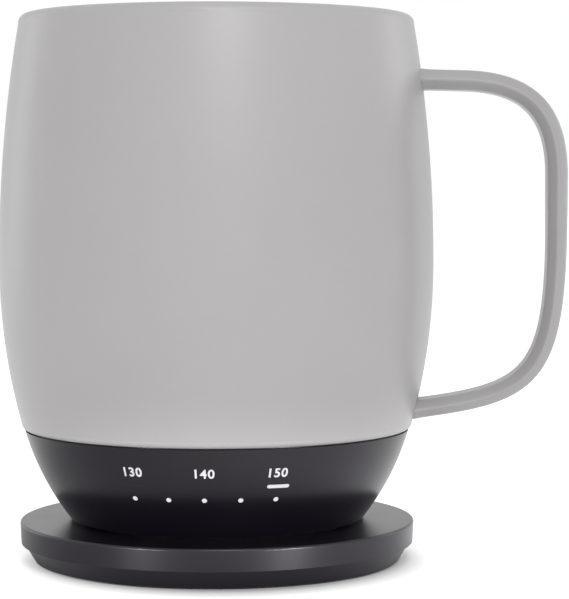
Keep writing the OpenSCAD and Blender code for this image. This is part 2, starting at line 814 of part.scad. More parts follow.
module vacuum_ring() {
    low_tilt = asin((belly_h - pad_h) / lower_arc.z);
    high_tilt = asin((belly_h - pad_h - jacket_flange) / lower_arc.z);
    inset = shell_wall + touch;
    color(steel) docked() rotate_extrude($fn = round_fn) {
        arc_wall(lower_arc, inset, inset + jacket_ring_t, -low_tilt, -high_tilt);
        band(
            jacket_in_r, arc_x(lower_arc, pad_h, inset + jacket_ring_t / 2),
            pad_h, pad_h + jacket_ring_t
        );
        band(jacket_in_r, jacket_in_r + jacket_ring_t, pad_h, liner_under);
    }
}

module handle() {
    weld = 0.04;
    path = handle_path();
    color(coat_grey) docked() difference() {
        sweep_xz(path, [for (p = path) strap_share(p.y) * strap_section()]);
        rotate_extrude($fn = round_fn) {
            intersection() {
                translate([upper_arc.x, upper_arc.y]) circle(upper_arc.z + weld, $fn = arc_fn);
                translate([0, belly_h]) square([far, mug_h - belly_h]);
            }
            intersection() {
                translate([lower_arc.x, lower_arc.y]) circle(lower_arc.z + weld, $fn = arc_fn);
                square([far, belly_h]);
            }
        }
    }
}

module base_collar() {
    groove_w = seam_ring_d + 2 * touch;
    color(satin_black) docked() difference() {
        union() {
            rotate_extrude($fn = round_fn) {
                difference() {
                    base_region(0, foot_proud, collar_top);
                    base_region(base_wall, ledge_top, seam_h);
                    band(0, bore_r, 0, cover_top);
                    band(0, ledge_in_r, 0, seam_h);
                }
                difference() {
                    band(sleeve_r - sleeve_t, sleeve_r, seam_h - sleeve_t, seam_h + sleeve_h);
                    translate([0, seam_ring_h - groove_w / 2])
                        band(sleeve_r - seam_groove, sleeve_r + bite, 0, groove_w);
                }
            }
            for (y = [-switch_post_y, switch_post_y])
                behind_button(switch_board_at) translate([0, y, 0])
                    cylinder(d = switch_post_d, h = switch_board_at - base_wall / 2);
        }
        at_dots() translate([0, 0, -2 * base_wall]) cylinder(d = dot_d + 2 * touch, h = 3 * base_wall);
        at_bars() bar_shape(touch, 2 * base_wall);
        behind_button(2 * base_wall) cylinder(r = button_bore_r, h = 3 * base_wall);
        behind_button(3 * base_wall) cylinder(r = seat_r, h = 3 * base_wall - seat_d);
        for (y = [-switch_post_y, switch_post_y])
            behind_button(switch_board_at + bite) translate([0, y, 0])
                cylinder(d = switch_screw_d + 2 * touch, h = switch_grip + fit + bite);
        at_posts() bar(cover_screw_d + 2 * fit, 0, seam_h);
    }
}

module seam_seal() {
    color(silicone) docked() rotate_extrude($fn = round_fn)
        translate([seam_ring_at, seam_ring_h]) circle(d = seam_ring_d);
}

module light_guide() {
    color(glow) docked() {
        front_layer(guide_inset, guide_inset + guide_t, guide_h0, guide_h1);
        intersection() {
            union() {
                at_dots() translate([0, 0, -guide_inset - bite])
                    cylinder(d = dot_d, h = guide_inset + 2 * bite);
                at_bars() bar_shape(0, guide_inset + bite);
            }
            rotate_extrude($fn = round_fn) base_region(0, 0, seam_h);
        }
    }
}

module led_board() {
    color(film_amber) docked() {
        front_layer(flex_inset, flex_inset + flex_t, guide_h0, guide_h1);
        strip(
            -90,
            [arc_x(base_arc, tail_h, flex_inset + flex_t / 2), tail_h],
            [board_r - 2 * flex_t, board_h],
            tail_w
        );
    }
}

// Light-emitting diode between the light guide and its board
module led() {
    translate([-led_w / 2, -led_w / 2, touch - led_inset - led_t]) cube([led_w, led_w, led_t - touch]);
}

module leds() {
    color(glow) docked() {
        at_dots() led();
        at_bars() led();
    }
}

module power_button() {
    ring_r = button_bore_r - touch - button_ring_d / 2;
    groove_d = base_wall / 2;
    dish_r = (pow(button_d / 2, 2) + pow(button_dish, 2)) / (2 * button_dish);
    color(satin_black) docked() {
        difference() {
            intersection() {
                behind_button(stem_d) cylinder(d = button_d, h = stem_d + bite);
                rotate_extrude($fn = round_fn) base_region(0, 0, seam_h);
            }
            on_base(0, button_h) translate([0, 0, dish_r - button_dish]) sphere(dish_r, $fn = arc_fn / 4);
            behind_button(groove_d + button_ring_d / 2 + touch) difference() {
                cylinder(r = button_bore_r + bite, h = button_ring_d + 2 * touch);
                cylinder(r = ring_r - button_ring_d / 2 - touch, h = button_ring_d + 2 * touch);
            }
        }
        behind_button(stem_d) cylinder(r = flange_r, h = button_flange_t);
        behind_button(stem_d + stem_l) cylinder(r = plunger_d / 2 + stem_margin, h = stem_l + touch);
    }
}

module button_seal() {
    color(silicone) docked()
        behind_button(base_wall / 2)
            rotate_extrude()
                translate([button_bore_r - touch - button_ring_d / 2, 0]) circle(d = button_ring_d);
}

module tact_switch() {
    pocket_l = plunger_l + touch;
    color(satin_black) docked() behind_button(switch_board_at) difference() {
        translate([-switch_w / 2, -switch_w / 2, touch]) cube([switch_w, switch_w, switch_t - touch]);
        translate([0, 0, switch_at - plunger_at + switch_t - pocket_l - button_travel])
            cylinder(d = plunger_d + 2 * button_gap, h = far);
    }
}

module switch_plunger() {
    color(glow) docked() behind_button(plunger_at + plunger_l) cylinder(d = plunger_d, h = plunger_l);
}

module switch_board() {
    color(board_green) docked() behind_button(switch_board_at + board_t) difference() {
        translate([-switch_board_l / 2, -switch_board_w / 2, 0])
            cube([switch_board_l, switch_board_w, board_t]);
        for (y = [-switch_post_y, switch_post_y]) translate([0, y, -bite])
            cylinder(d = switch_screw_d + 2 * fit, h = board_t + 2 * bite);
    }
}

module switch_screws() {
    color(steel) docked()
        for (y = [-switch_post_y, switch_post_y])
            behind_button(switch_board_at + board_t + switch_head_t) translate([0, y, 0])
                screw(switch_screw_d, 2 * switch_screw_d, switch_head_t, board_t + switch_grip);
}

module switch_lead() {
    color(film_amber) docked()
        strip(
            0,
            behind(switch_board_at + board_t / 2, switch_board_l / 2 + touch),
            [board_r - 2 * flex_t, board_h],
            tail_w / 2
        );
}

module heat_spreader() {
    color(nickel) docked() bar(2 * heater_r, spreader_h, liner_under);
}

module heater_film() {
    color(film_amber) docked() difference() {
        bar(2 * heater_r, heater_h, spreader_h);
        bar(sensor_d + 2 * fit, heater_h - bite, spreader_h + bite);
    }
}

module insulation_pad() {
    color(cup_white) docked() difference() {
        bar(2 * heater_r, pad_h, heater_h);
        bar(sensor_d + 2 * fit, pad_h - bite, heater_h + bite);
        for (x = [-1, 1]) translate([x * (heater_r - lead_inset), 0, 0])
            bar(lead_d + 2 * fit, pad_h - bite, heater_h + bite);
    }
}

module temperature_sensor() {
    lead_at = sensor_d / 4;
    color(satin_black) docked() {
        bar(sensor_d, pad_h, spreader_h);
        for (x = [-lead_at, lead_at]) translate([x, 0, 0]) bar(lead_d / 2, board_top, pad_h + touch);
    }
}

module heater_leads() {
    color(copper) docked()
        for (x = [-1, 1]) translate([x * (heater_r - lead_inset), 0, 0]) bar(lead_d, board_top, heater_h);
}

module control_board() {
    color(board_green) docked() difference() {
        bar(2 * board_r, board_h, board_top);
        at_posts() bar(post_screw_d + 2 * fit, board_h - bite, board_top + bite);
    }
}

// Chips, coils and connectors under the board, clear of the cells, as [x, y, width, depth, height]
module board_parts() {
    side = cell_x + cell_d / 2 + 2;
    parts = [
        [-side - 5, -7.5, 5, 5, 1.2],
        [-side - 6, -1, 6, 6, 3],
        [-side - 4, 6.5, 4, 3, 1.5],
        [side, -9, 4, 6, 1.5],
        [side, 4.5, 5, 4, 2.4]
    ];
    color(satin_black) docked()
        for (p = parts) translate([p[0], p[1], board_h - p[4]]) cube([p[2], p[3], p[4]]);
}

module board_screws() {
    color(steel) docked()
        at_posts() translate([0, 0, board_top + screw_head_t]) rotate([180, 0, 0])
            screw(post_screw_d, 2 * post_screw_d, screw_head_t, board_t + post_screw_l);
}

module battery_cells() {
    body_l = cell_l - nub_l;
    crimp_r = 0.5;
    color(cell_blue) docked() at_cells() rotate_extrude(convexity = 4) {
        difference() {
            translate([0, -cell_l / 2 + nub_l]) disc_profile(cell_d / 2, 0, body_l, 0.8, 0.6);
            translate([cell_d / 2 + crimp_r / 2, nub_l - cell_l / 2 + 3.2]) circle(crimp_r);
        }
        band(0, nub_d / 2, -cell_l / 2, nub_l - cell_l / 2 + bite);
    }
}

module cell_tabs() {
    tab_w = 2 * cell_x + nub_d;
    color(nickel) docked()
        for (side = [-1, 1]) {
            y = side * (cell_l / 2 + tab_t / 2 + touch);
            translate([-tab_w / 2, y - tab_t / 2, cell_h - tab_h / 2]) cube([tab_w, tab_t, tab_h]);
            translate([-tab_h / 4, y - tab_t / 2, cell_h]) cube([tab_h / 2, tab_t, board_h - cell_h]);
        }
}

module cell_cradle() {
    rail_x = post_x + post_d / 3;
    rail_y = cell_l / 2 - rail_inset;
    rail_h = cell_d / 4;
    stop_w = 2 * cell_x + nub_d;
    color(satin_black) docked() difference() {
        union() {
            bar(2 * (screw_r + post_d / 2), ledge_top, ledge_top + cradle_t);
            translate([-rail_x, -rail_y, ledge_top]) cube([2 * rail_x, 2 * rail_y, cradle_t + rail_h]);
            intersection() {
                for (side = [-1, 1])
                    translate([-stop_w / 2, side * (stop_y + stop_t / 2) - stop_t / 2, ledge_top])
                        cube([stop_w, stop_t, cell_d / 3]);
                rotate_extrude($fn = round_fn) base_region(flex_inset + flex_t + fit, 0, seam_h);
            }
            at_posts() bar(post_d, ledge_top, board_h);
        }
        at_cells() cylinder(d = cell_d + 2 * fit, h = cell_l + 2 * fit, center = true, $fn = round_fn);
        translate([0, inner_ring_r, 0]) bar(lead_d + 2 * fit, 0, board_h);
        translate([0, -outer_ring_r, 0]) bar(lead_d + 2 * fit, 0, board_h);
        at_posts() bar(cover_screw_d + 2 * touch, 0, ledge_top + cover_screw_grip + fit);
        at_posts() bar(post_screw_d + 2 * touch, board_h - post_screw_l - fit, board_h + bite);
    }
}

module charge_leads() {
    color(copper) docked() {
        translate([0, inner_ring_r, 0]) bar(lead_d, cover_top, board_h);
        translate([0, -outer_ring_r, 0]) bar(lead_d, cover_top, board_h);
    }
}

// Contact ring set in the bottom cover, with a stud that goes up through it
module contact_ring(middle_r, stud_y) {
    color(gold) docked() {
        rotate_extrude($fn = round_fn)
            band(middle_r - ring_w / 2, middle_r + ring_w / 2, contact_h, contact_h + ring_t);
        translate([0, stud_y, 0]) bar(lead_d, contact_h, cover_top);
    }
}

module contact_ring_inner() {
    contact_ring(inner_ring_r, inner_ring_r);
}

module contact_ring_outer() {
    contact_ring(outer_ring_r, -outer_ring_r);
}

module bottom_cover() {
    color(satin_black) docked() difference() {
        rotate_extrude($fn = round_fn) difference() {
            band(0, cover_r, foot_proud, cover_top);
            band(0, recess_r, 0, contact_h);
            band(foot_in_r - fit, foot_out_r + fit, 0, foot_t);
            for (r = [inner_ring_r, outer_ring_r])
                band(r - ring_w / 2 - touch, r + ring_w / 2 + touch, contact_h - bite, contact_h + ring_t);
            band(cover_r - fit - seal_w(), cover_r - fit, cover_top - seal_t, cover_top + bite);
        }
        translate([0, inner_ring_r, 0]) bar(lead_d + 2 * touch, 0, cover_top + bite);
        translate([0, -outer_ring_r, 0]) bar(lead_d + 2 * touch, 0, cover_top + bite);
        at_posts() bar(2 * cover_screw_d + 2 * fit, 0, foot_t + screw_head_t);
        at_posts() bar(cover_screw_d + 2 * fit, 0, cover_top + bite);
    }
}

// Width of the cover's seal, between the screws and the cover's edge
function seal_w() = cover_r - screw_r - cover_screw_d / 2 - 3 * fit - 0.4;

module cover_seal() {
    color(silicone) docked() rotate_extrude($fn = round_fn)
        band(cover_r - fit - seal_w() + touch, cover_r - fit - touch, cover_top - seal_t, cover_top);
}

module cover_screws() {
    shank_l = ledge_top - foot_t - screw_head_t + cover_screw_grip;
    color(steel) docked()
        at_posts() translate([0, 0, foot_t]) screw(cover_screw_d, 2 * cover_screw_d, screw_head_t, shank_l);
}

module foot_ring() {
    edge = 0.4;
    middle_r = (foot_in_r + foot_out_r) / 2;
    color(silicone) docked() rotate_extrude($fn = round_fn)
        translate([middle_r, 0])
            for (side = [0, 1]) mirror([side, 0]) disc_profile(foot_w / 2, 0, foot_t, edge, edge / 2);
}

// Way in for the plug through the coaster's side
module inlet_hole() {
    on_inlet(inlet_front) cylinder(d = inlet_hole_d, h = coaster_d);
}

module coaster_top() {
    color(satin_black) difference() {
        union() {
            rotate_extrude($fn = round_fn) {
                difference() {
                    disc_profile(coaster_d / 2, split_h, coaster_h, under_r, edge_r);
                    band(0, side_in_r, 0, lid_under);
                }
                disc_profile(boss_r, lid_under + bite, boss_top, edge_r, edge_r);
            }
            for (a = coaster_angles) rotate([0, 0, a]) translate([coaster_screw_r, 0, 0])
                bar(coaster_screw_d + 2 * boss_wall, coaster_post_top, lid_under + bite);
        }
        for (p = [inner_pin_at, outer_pin_at]) translate(p) {
            bar(2 * barrel_r + 2 * fit, 0, barrel_top + fit);
            bar(pin_d + 4 * fit, 0, boss_top + bite);
        }
        inlet_hole();
        for (a = coaster_angles) rotate([0, 0, a]) translate([coaster_screw_r, 0, 0])
            bar(coaster_screw_d + 2 * touch, 0, lid_under - fit);
    }
}

module coaster_base() {
    mat_r = mat_d / 2 + fit;
    color(satin_black) difference() {
        union() {
            rotate_extrude($fn = round_fn) polygon([
                [0, mat_top],
                [mat_r, mat_top],
                [mat_r, mat_proud],
                [lower_foot_d / 2, mat_proud],
                [lower_d / 2, split_h],
                [rim_out_r, split_h],
                [rim_out_r, split_h + rim_h],
                [rim_out_r - rim_t, split_h + rim_h],
                [rim_out_r - rim_t, lower_floor],
                [0, lower_floor]
            ]);
            for (a = coaster_angles) rotate([0, 0, a]) translate([coaster_screw_r, 0, 0])
                bar(coaster_post_d, mat_top, coaster_post_top);
            for (a = [45 : 90 : 315]) rotate([0, 0, a]) translate([tray_r - tray_post_d, 0, 0])
                bar(tray_post_d, mat_top, tray_h);
        }
        for (a = coaster_angles) rotate([0, 0, a]) translate([coaster_screw_r, 0, 0]) {
            bar(2.2 * coaster_screw_d + 2 * fit, 0, screw_seat);
            bar(coaster_screw_d + 2 * fit, 0, coaster_h);
        }
        inlet_hole();
    }
}

module coaster_foot() {
    color(silicone) rotate_extrude($fn = round_fn)
        disc_profile(mat_d / 2, 0, mat_top, mat_proud / 2, edge_r / 4);
}

module coaster_board() {
    color(board_green) difference() {
        union() {
            bar(2 * tray_r, tray_h, tray_top);
            translate([-tray_w / 2, 0, tray_h]) cube([tray_w, inlet_back + inlet_l / 2, board_t]);
        }
        translate([-inlet_w / 2 - fit, inlet_back - fit, 0]) cube([inlet_w + 2 * fit, inlet_l, coaster_h]);
    }
}

// Places a piece on the inlet's axis, with its own Z pointing out of the coaster
module on_inlet(y) {
    translate([0, y, inlet_h]) rotate([-90, 0, 0]) children();
}

module dc_jack() {
    color(satin_black) difference() {
        translate([-inlet_w / 2, inlet_back, inlet_low]) cube([inlet_w, inlet_l, inlet_high - inlet_low]);
        on_inlet(inlet_back + inlet_wall) cylinder(d = inlet_d, h = inlet_l);
        on_inlet(inlet_back - bite) cylinder(d = inlet_root_d + 2 * touch, h = inlet_l);
    }
}

module jack_pin() {
    color(gold) {
        on_inlet(inlet_back) cylinder(d = inlet_root_d, h = inlet_wall);
        on_inlet(inlet_back + inlet_wall - bite) cylinder(d = inlet_pin_d, h = inlet_pin_l + bite);
    }
}

module pin_barrels() {
    bore = pin_flange_d + 2 * pin_gap;
    color(gold) for (p = [inner_pin_at, outer_pin_at]) translate(p) difference() {
        bar(2 * barrel_r, tray_top, barrel_top);
        bar(bore, barrel_floor, barrel_top - barrel_lip);
        bar(pin_d + 2 * pin_gap, barrel_floor, barrel_top + bite);
    }
}

// Round-nosed charging pin with the flange that keeps it in its barrel
module charging_pin(at) {
    color(gold) translate(at) {
        bar(pin_flange_d, flange_low, flange_top);
        bar(pin_d, flange_low, pin_tip - pin_d / 2);
        translate([0, 0, pin_tip - pin_d / 2]) sphere(d = pin_d);
    }
}

module inner_pin() {
    charging_pin(inner_pin_at);
}

module outer_pin() {
    charging_pin(outer_pin_at);
}

module inner_pin_spring() {
    color(steel) translate(inner_pin_at) coil(spring_r, spring_low, spring_high, turns);
}

module outer_pin_spring() {
    color(steel) translate(outer_pin_at) coil(spring_r, spring_low, spring_high, turns);
}

module coaster_screws() {
    head_t = screw_seat - mat_top - fit;
    length = lid_under - screw_seat - 3 * fit;
    color(steel) for (a = coaster_angles) rotate([0, 0, a])
        translate([coaster_screw_r, 0, screw_seat - head_t])
            screw(coaster_screw_d, 2.2 * coaster_screw_d, head_t, length);
}

outer_shell();
inner_liner();
vacuum_ring();
handle();
base_collar();
seam_seal();
light_guide();
led_board();
leds();
power_button();
button_seal();
tact_switch();
switch_plunger();
switch_board();
switch_screws();
switch_lead();
heat_spreader();
heater_film();
insulation_pad();
temperature_sensor();
heater_leads();
control_board();
board_parts();
board_screws();
battery_cells();
cell_tabs();
cell_cradle();
charge_leads();
bottom_cover();
cover_seal();
cover_screws();
foot_ring();
contact_ring_inner();
contact_ring_outer();
coaster_top();
coaster_base();
coaster_foot();
coaster_board();
dc_jack();
jack_pin();
pin_barrels();
inner_pin();
outer_pin();
inner_pin_spring();
outer_pin_spring();
coaster_screws();
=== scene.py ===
import json
import math

import bmesh
import bpy
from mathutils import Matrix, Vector
from mathutils.bvhtree import BVHTree


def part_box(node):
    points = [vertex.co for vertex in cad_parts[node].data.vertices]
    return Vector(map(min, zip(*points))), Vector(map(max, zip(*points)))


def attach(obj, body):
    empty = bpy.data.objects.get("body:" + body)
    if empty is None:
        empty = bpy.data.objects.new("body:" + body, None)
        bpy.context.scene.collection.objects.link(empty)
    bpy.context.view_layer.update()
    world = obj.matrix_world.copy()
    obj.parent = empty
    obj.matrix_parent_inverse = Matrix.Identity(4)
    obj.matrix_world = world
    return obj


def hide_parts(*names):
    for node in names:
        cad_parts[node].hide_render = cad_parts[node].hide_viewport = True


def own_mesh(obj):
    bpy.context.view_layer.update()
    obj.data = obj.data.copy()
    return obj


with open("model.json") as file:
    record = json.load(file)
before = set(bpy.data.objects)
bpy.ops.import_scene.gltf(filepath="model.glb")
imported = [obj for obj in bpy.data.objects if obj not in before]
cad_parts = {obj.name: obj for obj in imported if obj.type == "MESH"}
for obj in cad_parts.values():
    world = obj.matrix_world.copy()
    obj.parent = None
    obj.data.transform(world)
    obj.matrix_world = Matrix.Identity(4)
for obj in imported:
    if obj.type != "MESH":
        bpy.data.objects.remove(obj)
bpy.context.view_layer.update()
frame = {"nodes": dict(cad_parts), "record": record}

# Lengths are written in millimetres and turned to Blender's metres with MM
MM = 0.001

# Handle: a strap bent in one plane, with the sizes of its solid
STRAP_W = 13.0
STRAP_T = 4.3
STRAP_LOW_T = 3.8
STRAP_BEVEL = 2.7
STRAP_RIDGE = 0.55
STRAP_EASE = 0.35
TOP_ARM_DROP = 14.1
TOP_ARM_SLOPE = math.radians(1.5)
TOP_CORNER = (20.3, 20.8)
TOP_PULL = 0.69
LOW_ARM_RISE = 4.25
LOW_ARM_SLOPE = math.radians(7.7)
LOW_CORNER = (30.0, 40.7)
LOW_PULL = 0.84
ROOT_SINK = 1.2
ROOT_FLARE = 0.06
ROOT_FLARE_REACH = 1.6
PATH_STEPS = 32
SECTION_POINTS = 56

# Display on the front of the collar: lit dots and one lit bar, with plain numbers printed above
DOT_COUNT = 5
DOT_PITCH = math.radians(11.3)
DOT_D = 1.03
DOT_DOME = 0.22
DOT_TALL = 1.1
DOT_H = 9.0
DOT_SEGMENTS = 24
DOT_RINGS = 12
BAR_H = 11.85
LIT_BAR_SIDE = 8.0
SCALE_NUMBERS = ("130", "140", "150")
NUMBER_PITCH = math.radians(21.7)
NUMBER_H = 14.85
NUMBER_CAP = 1.95
NUMBER_BOLD = 0.07
NUMBER_SPACING = 1.12
NUMBER_CURVE_STEPS = 6
FONT_CAP_SHARE = 0.69
INK_T = 0.03

# Coaster solids: top, outer wall and its round under edge, and the rim of the lower shell
COASTER_H = 8.9
COASTER_R = 43.3
TOP_EDGE_R = 0.4
WALL_LOW = 4.1
UNDER_FROM = 41.5
UNDER_R = 1.8
RIM_R = 40.8
RIM_PLAY = 0.05

# Coaster shells as they show: a softer top edge, a leaning wall that ends higher and a taller flare below
SOFT_EDGE_R = 0.55
TIGHT_R = 0.6
TIGHT_LOW = 4.3
WALL_LEAN = 0.25
FLARE_FROM = 38.9
FLARE_TOP = (1.5, 1.95)
FLARE_FOOT = 0.8
INLET_CLEAR = 2.6
INLET_EASE = 5.0

# Points of a mesh that lie closer than this are one point, and rays at a surface start this far out
WELD = 0.0001
OUTSIDE = 1000.0

# Camera, fitted to the photograph: its place from the mug's axis and its aim
CAMERA_DISTANCE = 500.0
CAMERA_HEIGHT = 84.7
CAMERA_AZIMUTH = math.radians(4.03)
CAMERA_YAW = math.radians(1.699)
CAMERA_PITCH = math.radians(3.17)
CAMERA_LENS = 136.8
CAMERA_SENSOR = 36.0
CAMERA_SEES = (10.0, 20000.0)

# Floor: its own brightness comes up between two distances from the contact shadow's middle, which paints a
# contact shadow over the real shade
FLOOR_REACH = 4000.0
SHADOW_SHIFT = (2.0, -2.5)
SHADOW_NARROW = 1.08
SHADOW_FROM = 38.5
SHADOW_TO = 49.0
FLOOR_SHOWS = 0.62
FLOOR_GIVES = 0.24
WORLD_GIVES = 0.57

# Floor as the gloss mirrors it: painted shade that comes up more slowly, and a long painted shade patch left
# of the mug that is dimmer
MIRROR_TO = 60.0
MIRROR_SHADE_AT = (-60.0, -16.0)
MIRROR_SHADE_LONG = 0.6
MIRROR_SHADE = (20.0, 90.0)
MIRROR_LEVEL = (0.1, 1.1)

# Studio lights: azimuth and elevation, height of the aim, distance, size, watts, and spread in degrees
LAMPS = {
    "key_softbox": (10, 32, 60, 900, (340, 420), 2.5, 180),
    "top_softbox": (0, 86, 60, 1000, (220, 220), 0.5, 180),
    "right_rim": (122, 8, 60, 900, (260, 500), 0.65, 180),
    "left_rim": (-122, 8, 60, 900, (260, 500), 0.5, 180),
    "right_strip": (45, 0, 6, 260, (170, 10), 0.016, 16),
    "left_strip": (-38, 0, 6, 260, (80, 10), 0.0046, 16),
}


def srgb(code):
    """Linear colour of an sRGB hex value."""
    channels = [int(code[i:i + 2], 16) / 255 for i in (1, 3, 5)]
    return [c / 12.92 if c <= 0.04045 else ((c + 0.055) / 1.055) ** 2.4 for c in channels] + [1.0]


def per(mm):
    """Scale of a pattern whose features lie that many millimetres apart."""
    return 1 / (mm * MM)


def add(tree, kind, inputs=None, **settings):
    """Adds a node, with values or links for its inputs, and settings for its properties."""
    made = tree.nodes.new(kind)
    for name, value in settings.items():
        setattr(made, name, value)
    for key, value in (inputs or {}).items():
        if isinstance(value, bpy.types.NodeSocket):
            tree.links.new(value, made.inputs[key])
        else:
            made.inputs[key].default_value = value
    return made


def placed(name, data):
    """New object of some data, at the origin of the scene."""
    made = bpy.data.objects.new(name, data)
    bpy.context.scene.collection.objects.link(made)
    return made


def plain_mesh(made):
    """Plain mesh of an object as its modifiers or its curve leave it."""
    return bpy.data.meshes.new_from_object(made.evaluated_get(bpy.context.evaluated_depsgraph_get()))


def foot_z():
    """Height of the mug's foot on the coaster."""
    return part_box("foot_ring")[0].z


def blank_material(name):
    """New material: returns it, its empty node tree and the tree's Object coordinates."""
    material = bpy.data.materials.new(name)
    material.use_nodes = True
    tree = material.node_tree
    tree.nodes.clear()
    return material, tree, add(tree, "ShaderNodeTexCoord").outputs["Object"]


def finish(tree, colour, rough, sockets, relief=()):
    """Ends a material in its shader. Colour and roughness are each a pattern and its two ends, relief is a
    list of patterns with their depths in millimetres, and sockets holds what is the same all over."""
    pattern, dark, light = colour
    tint = add(tree, "ShaderNodeMix", {0: pattern, 6: srgb(dark), 7: srgb(light)}, data_type="RGBA")
    pattern, low, high = rough
    gloss = add(tree, "ShaderNodeMapRange", {"Value": pattern, "To Min": low, "To Max": high})
    surface = {"Base Color": tint.outputs[2], "Roughness": gloss.outputs[0], **sockets}
    for pattern, depth in relief:
        bump = add(tree, "ShaderNodeBump", {"Height": pattern, "Distance": depth * MM})
        if "Normal" in surface:
            tree.links.new(surface["Normal"], bump.inputs["Normal"])
        surface["Normal"] = bump.outputs[0]
    shader = add(tree, "ShaderNodeBsdfPrincipled", surface)
    add(tree, "ShaderNodeOutputMaterial", {"Surface": shader.outputs[0]})


# Polyester powder coat baked on steel: satin and even, with a faint orange peel and a fine grit. The grit
# is finer than a pixel, and is drawn at 0.45 mm to show
def grey_powder_coat(name, dark, light):
    material, tree, spot = blank_material(name)
    drift = add(tree, "ShaderNodeTexNoise", {"Vector": spot, "Scale": per(22), "Detail": 2.0}).outputs["Fac"]
    grit = add(tree, "ShaderNodeTexNoise", {"Vector": spot, "Scale": per(0.45), "Detail": 2.0}).outputs["Fac"]
    peel = add(tree, "ShaderNodeTexNoise", {"Vector": spot, "Scale": per(1.6), "Detail": 2.0}).outputs["Fac"]
    cover = add(tree, "ShaderNodeMath", {0: drift, 1: grit}, operation="ADD")
    tone = add(tree, "ShaderNodeMapRange", {"Value": cover.outputs[0], "From Max": 2.0})
    finish(tree, (tone.outputs[0], dark, light), (grit, 0.33, 0.41), {"IOR": 1.5},
           [(peel, 0.018), (grit, 0.006)])
    return material


# Ceramic coating fired on the steel liner: glossy off-white with a slow ripple and a few specks
def white_ceramic_coat():
    material, tree, spot = blank_material("white_ceramic_coat")
    ripple = add(tree, "ShaderNodeTexNoise", {"Vector": spot, "Scale": per(5), "Detail": 2.0}).outputs["Fac"]
    cells = add(tree, "ShaderNodeTexVoronoi", {"Vector": spot, "Scale": per(3.2)})
    speck = add(tree, "ShaderNodeMapRange", {
        "Value": cells.outputs["Distance"], "From Min": 0.05, "From Max": 0.09})
    finish(tree, (speck.outputs[0], "#d9d4ca", "#eeebe5"), (ripple, 0.14, 0.26),
           {"IOR": 1.54, "Coat Weight": 0.35}, [(ripple, 0.03)])
    return material


# Moulded ABS with a fine spark-eroded texture: a purplish near black, satin, which mirrors bright things
# softly and with a violet cast. The texture is finer than a pixel, and is drawn at 0.5 mm to show
def black_abs():
    material, tree, spot = blank_material("black_abs")
    spark = add(tree, "ShaderNodeTexNoise", {"Vector": spot, "Scale": per(0.5), "Detail": 3.0}).outputs["Fac"]
    flow = add(tree, "ShaderNodeTexNoise", {"Vector": spot, "Scale": per(14), "Detail": 2.0}).outputs["Fac"]
    finish(tree, (flow, "#0b080f", "#0f0a13"), (flow, 0.26, 0.32),
           {"IOR": 1.46, "Specular Tint": srgb("#f8f4ff")}, [(spark, 0.006)])
    return material


# Plain moulded ABS of the inner pieces: dark and duller than the outside
def inner_abs():
    material, tree, spot = blank_material("inner_abs")
    spark = add(tree, "ShaderNodeTexNoise", {"Vector": spot, "Scale": per(0.6), "Detail": 2.0}).outputs["Fac"]
    finish(tree, (spark, "#2a2a2d", "#36363a"), (spark, 0.45, 0.6), {"IOR": 1.5}, [(spark, 0.01)])
    return material


# Moulded silicone: soft, matte and slightly dusty
def black_silicone():
    material, tree, spot = blank_material("black_silicone")
    dust = add(tree, "ShaderNodeTexNoise", {"Vector": spot, "Scale": per(1.1), "Detail": 5.0}).outputs["Fac"]
    finish(tree, (dust, "#1c1b1e", "#2b2a2d"), (dust, 0.6, 0.8), {"IOR": 1.41, "Sheen Weight": 0.12},
           [(dust, 0.02)])
    return material


# Acrylic light guide: white where a light behind it is on, and as black as the collar where it is off
def lit_acrylic():
    material, tree, spot = blank_material("lit_acrylic")
    place = add(tree, "ShaderNodeSeparateXYZ", {0: spot}).outputs
    bars_from = foot_z() + (DOT_H + BAR_H) / 2 * MM
    dots = add(tree, "ShaderNodeMath", {0: place["Z"], 1: bars_from}, operation="LESS_THAN")
    bar = add(tree, "ShaderNodeMath", {0: place["X"], 1: LIT_BAR_SIDE * MM}, operation="GREATER_THAN")
    lit = add(tree, "ShaderNodeMath", {0: dots.outputs[0], 1: bar.outputs[0]}, operation="MAXIMUM").outputs[0]
    colour = add(tree, "ShaderNodeMix", {0: lit, 6: srgb("#0d0911"), 7: srgb("#9a989b")}, data_type="RGBA")
    glow = add(tree, "ShaderNodeMapRange", {"Value": lit, "To Max": 0.42})
    shader = add(tree, "ShaderNodeBsdfPrincipled", {
        "Base Color": colour.outputs[2], "Roughness": 0.3, "IOR": 1.46,
        "Emission Color": srgb("#f4f2f5"), "Emission Strength": glow.outputs[0]})
    add(tree, "ShaderNodeOutputMaterial", {"Surface": shader.outputs[0]})
    return material


# Pad-printed white ink: flat, slightly uneven in cover
def white_ink():
    material, tree, spot = blank_material("white_ink")
    cover = add(tree, "ShaderNodeTexNoise", {"Vector": spot, "Scale": per(0.4), "Detail": 2.0}).outputs["Fac"]
    finish(tree, (cover, "#cfcdd1", "#dedce0"), (cover, 0.5, 0.65), {"IOR": 1.48})
    return material


# Gold-plated brass contact: polished, with fine rings from turning about the axis
def gold_plate():
    material, tree, spot = blank_material("gold_plate")
    place = add(tree, "ShaderNodeSeparateXYZ", {0: spot}).outputs
    level = add(tree, "ShaderNodeCombineXYZ", {"X": place["X"], "Y": place["Y"]})
    reach = add(tree, "ShaderNodeVectorMath", {0: level.outputs[0]}, operation="LENGTH").outputs["Value"]
    rings = add(tree, "ShaderNodeTexNoise", {"W": reach, "Scale": per(0.25), "Detail": 2.0},
                noise_dimensions="1D").outputs["Fac"]
    finish(tree, (rings, "#c89f4c", "#e0bd72"), (rings, 0.16, 0.34), {"Metallic": 1.0}, [(rings, 0.006)])
    return material


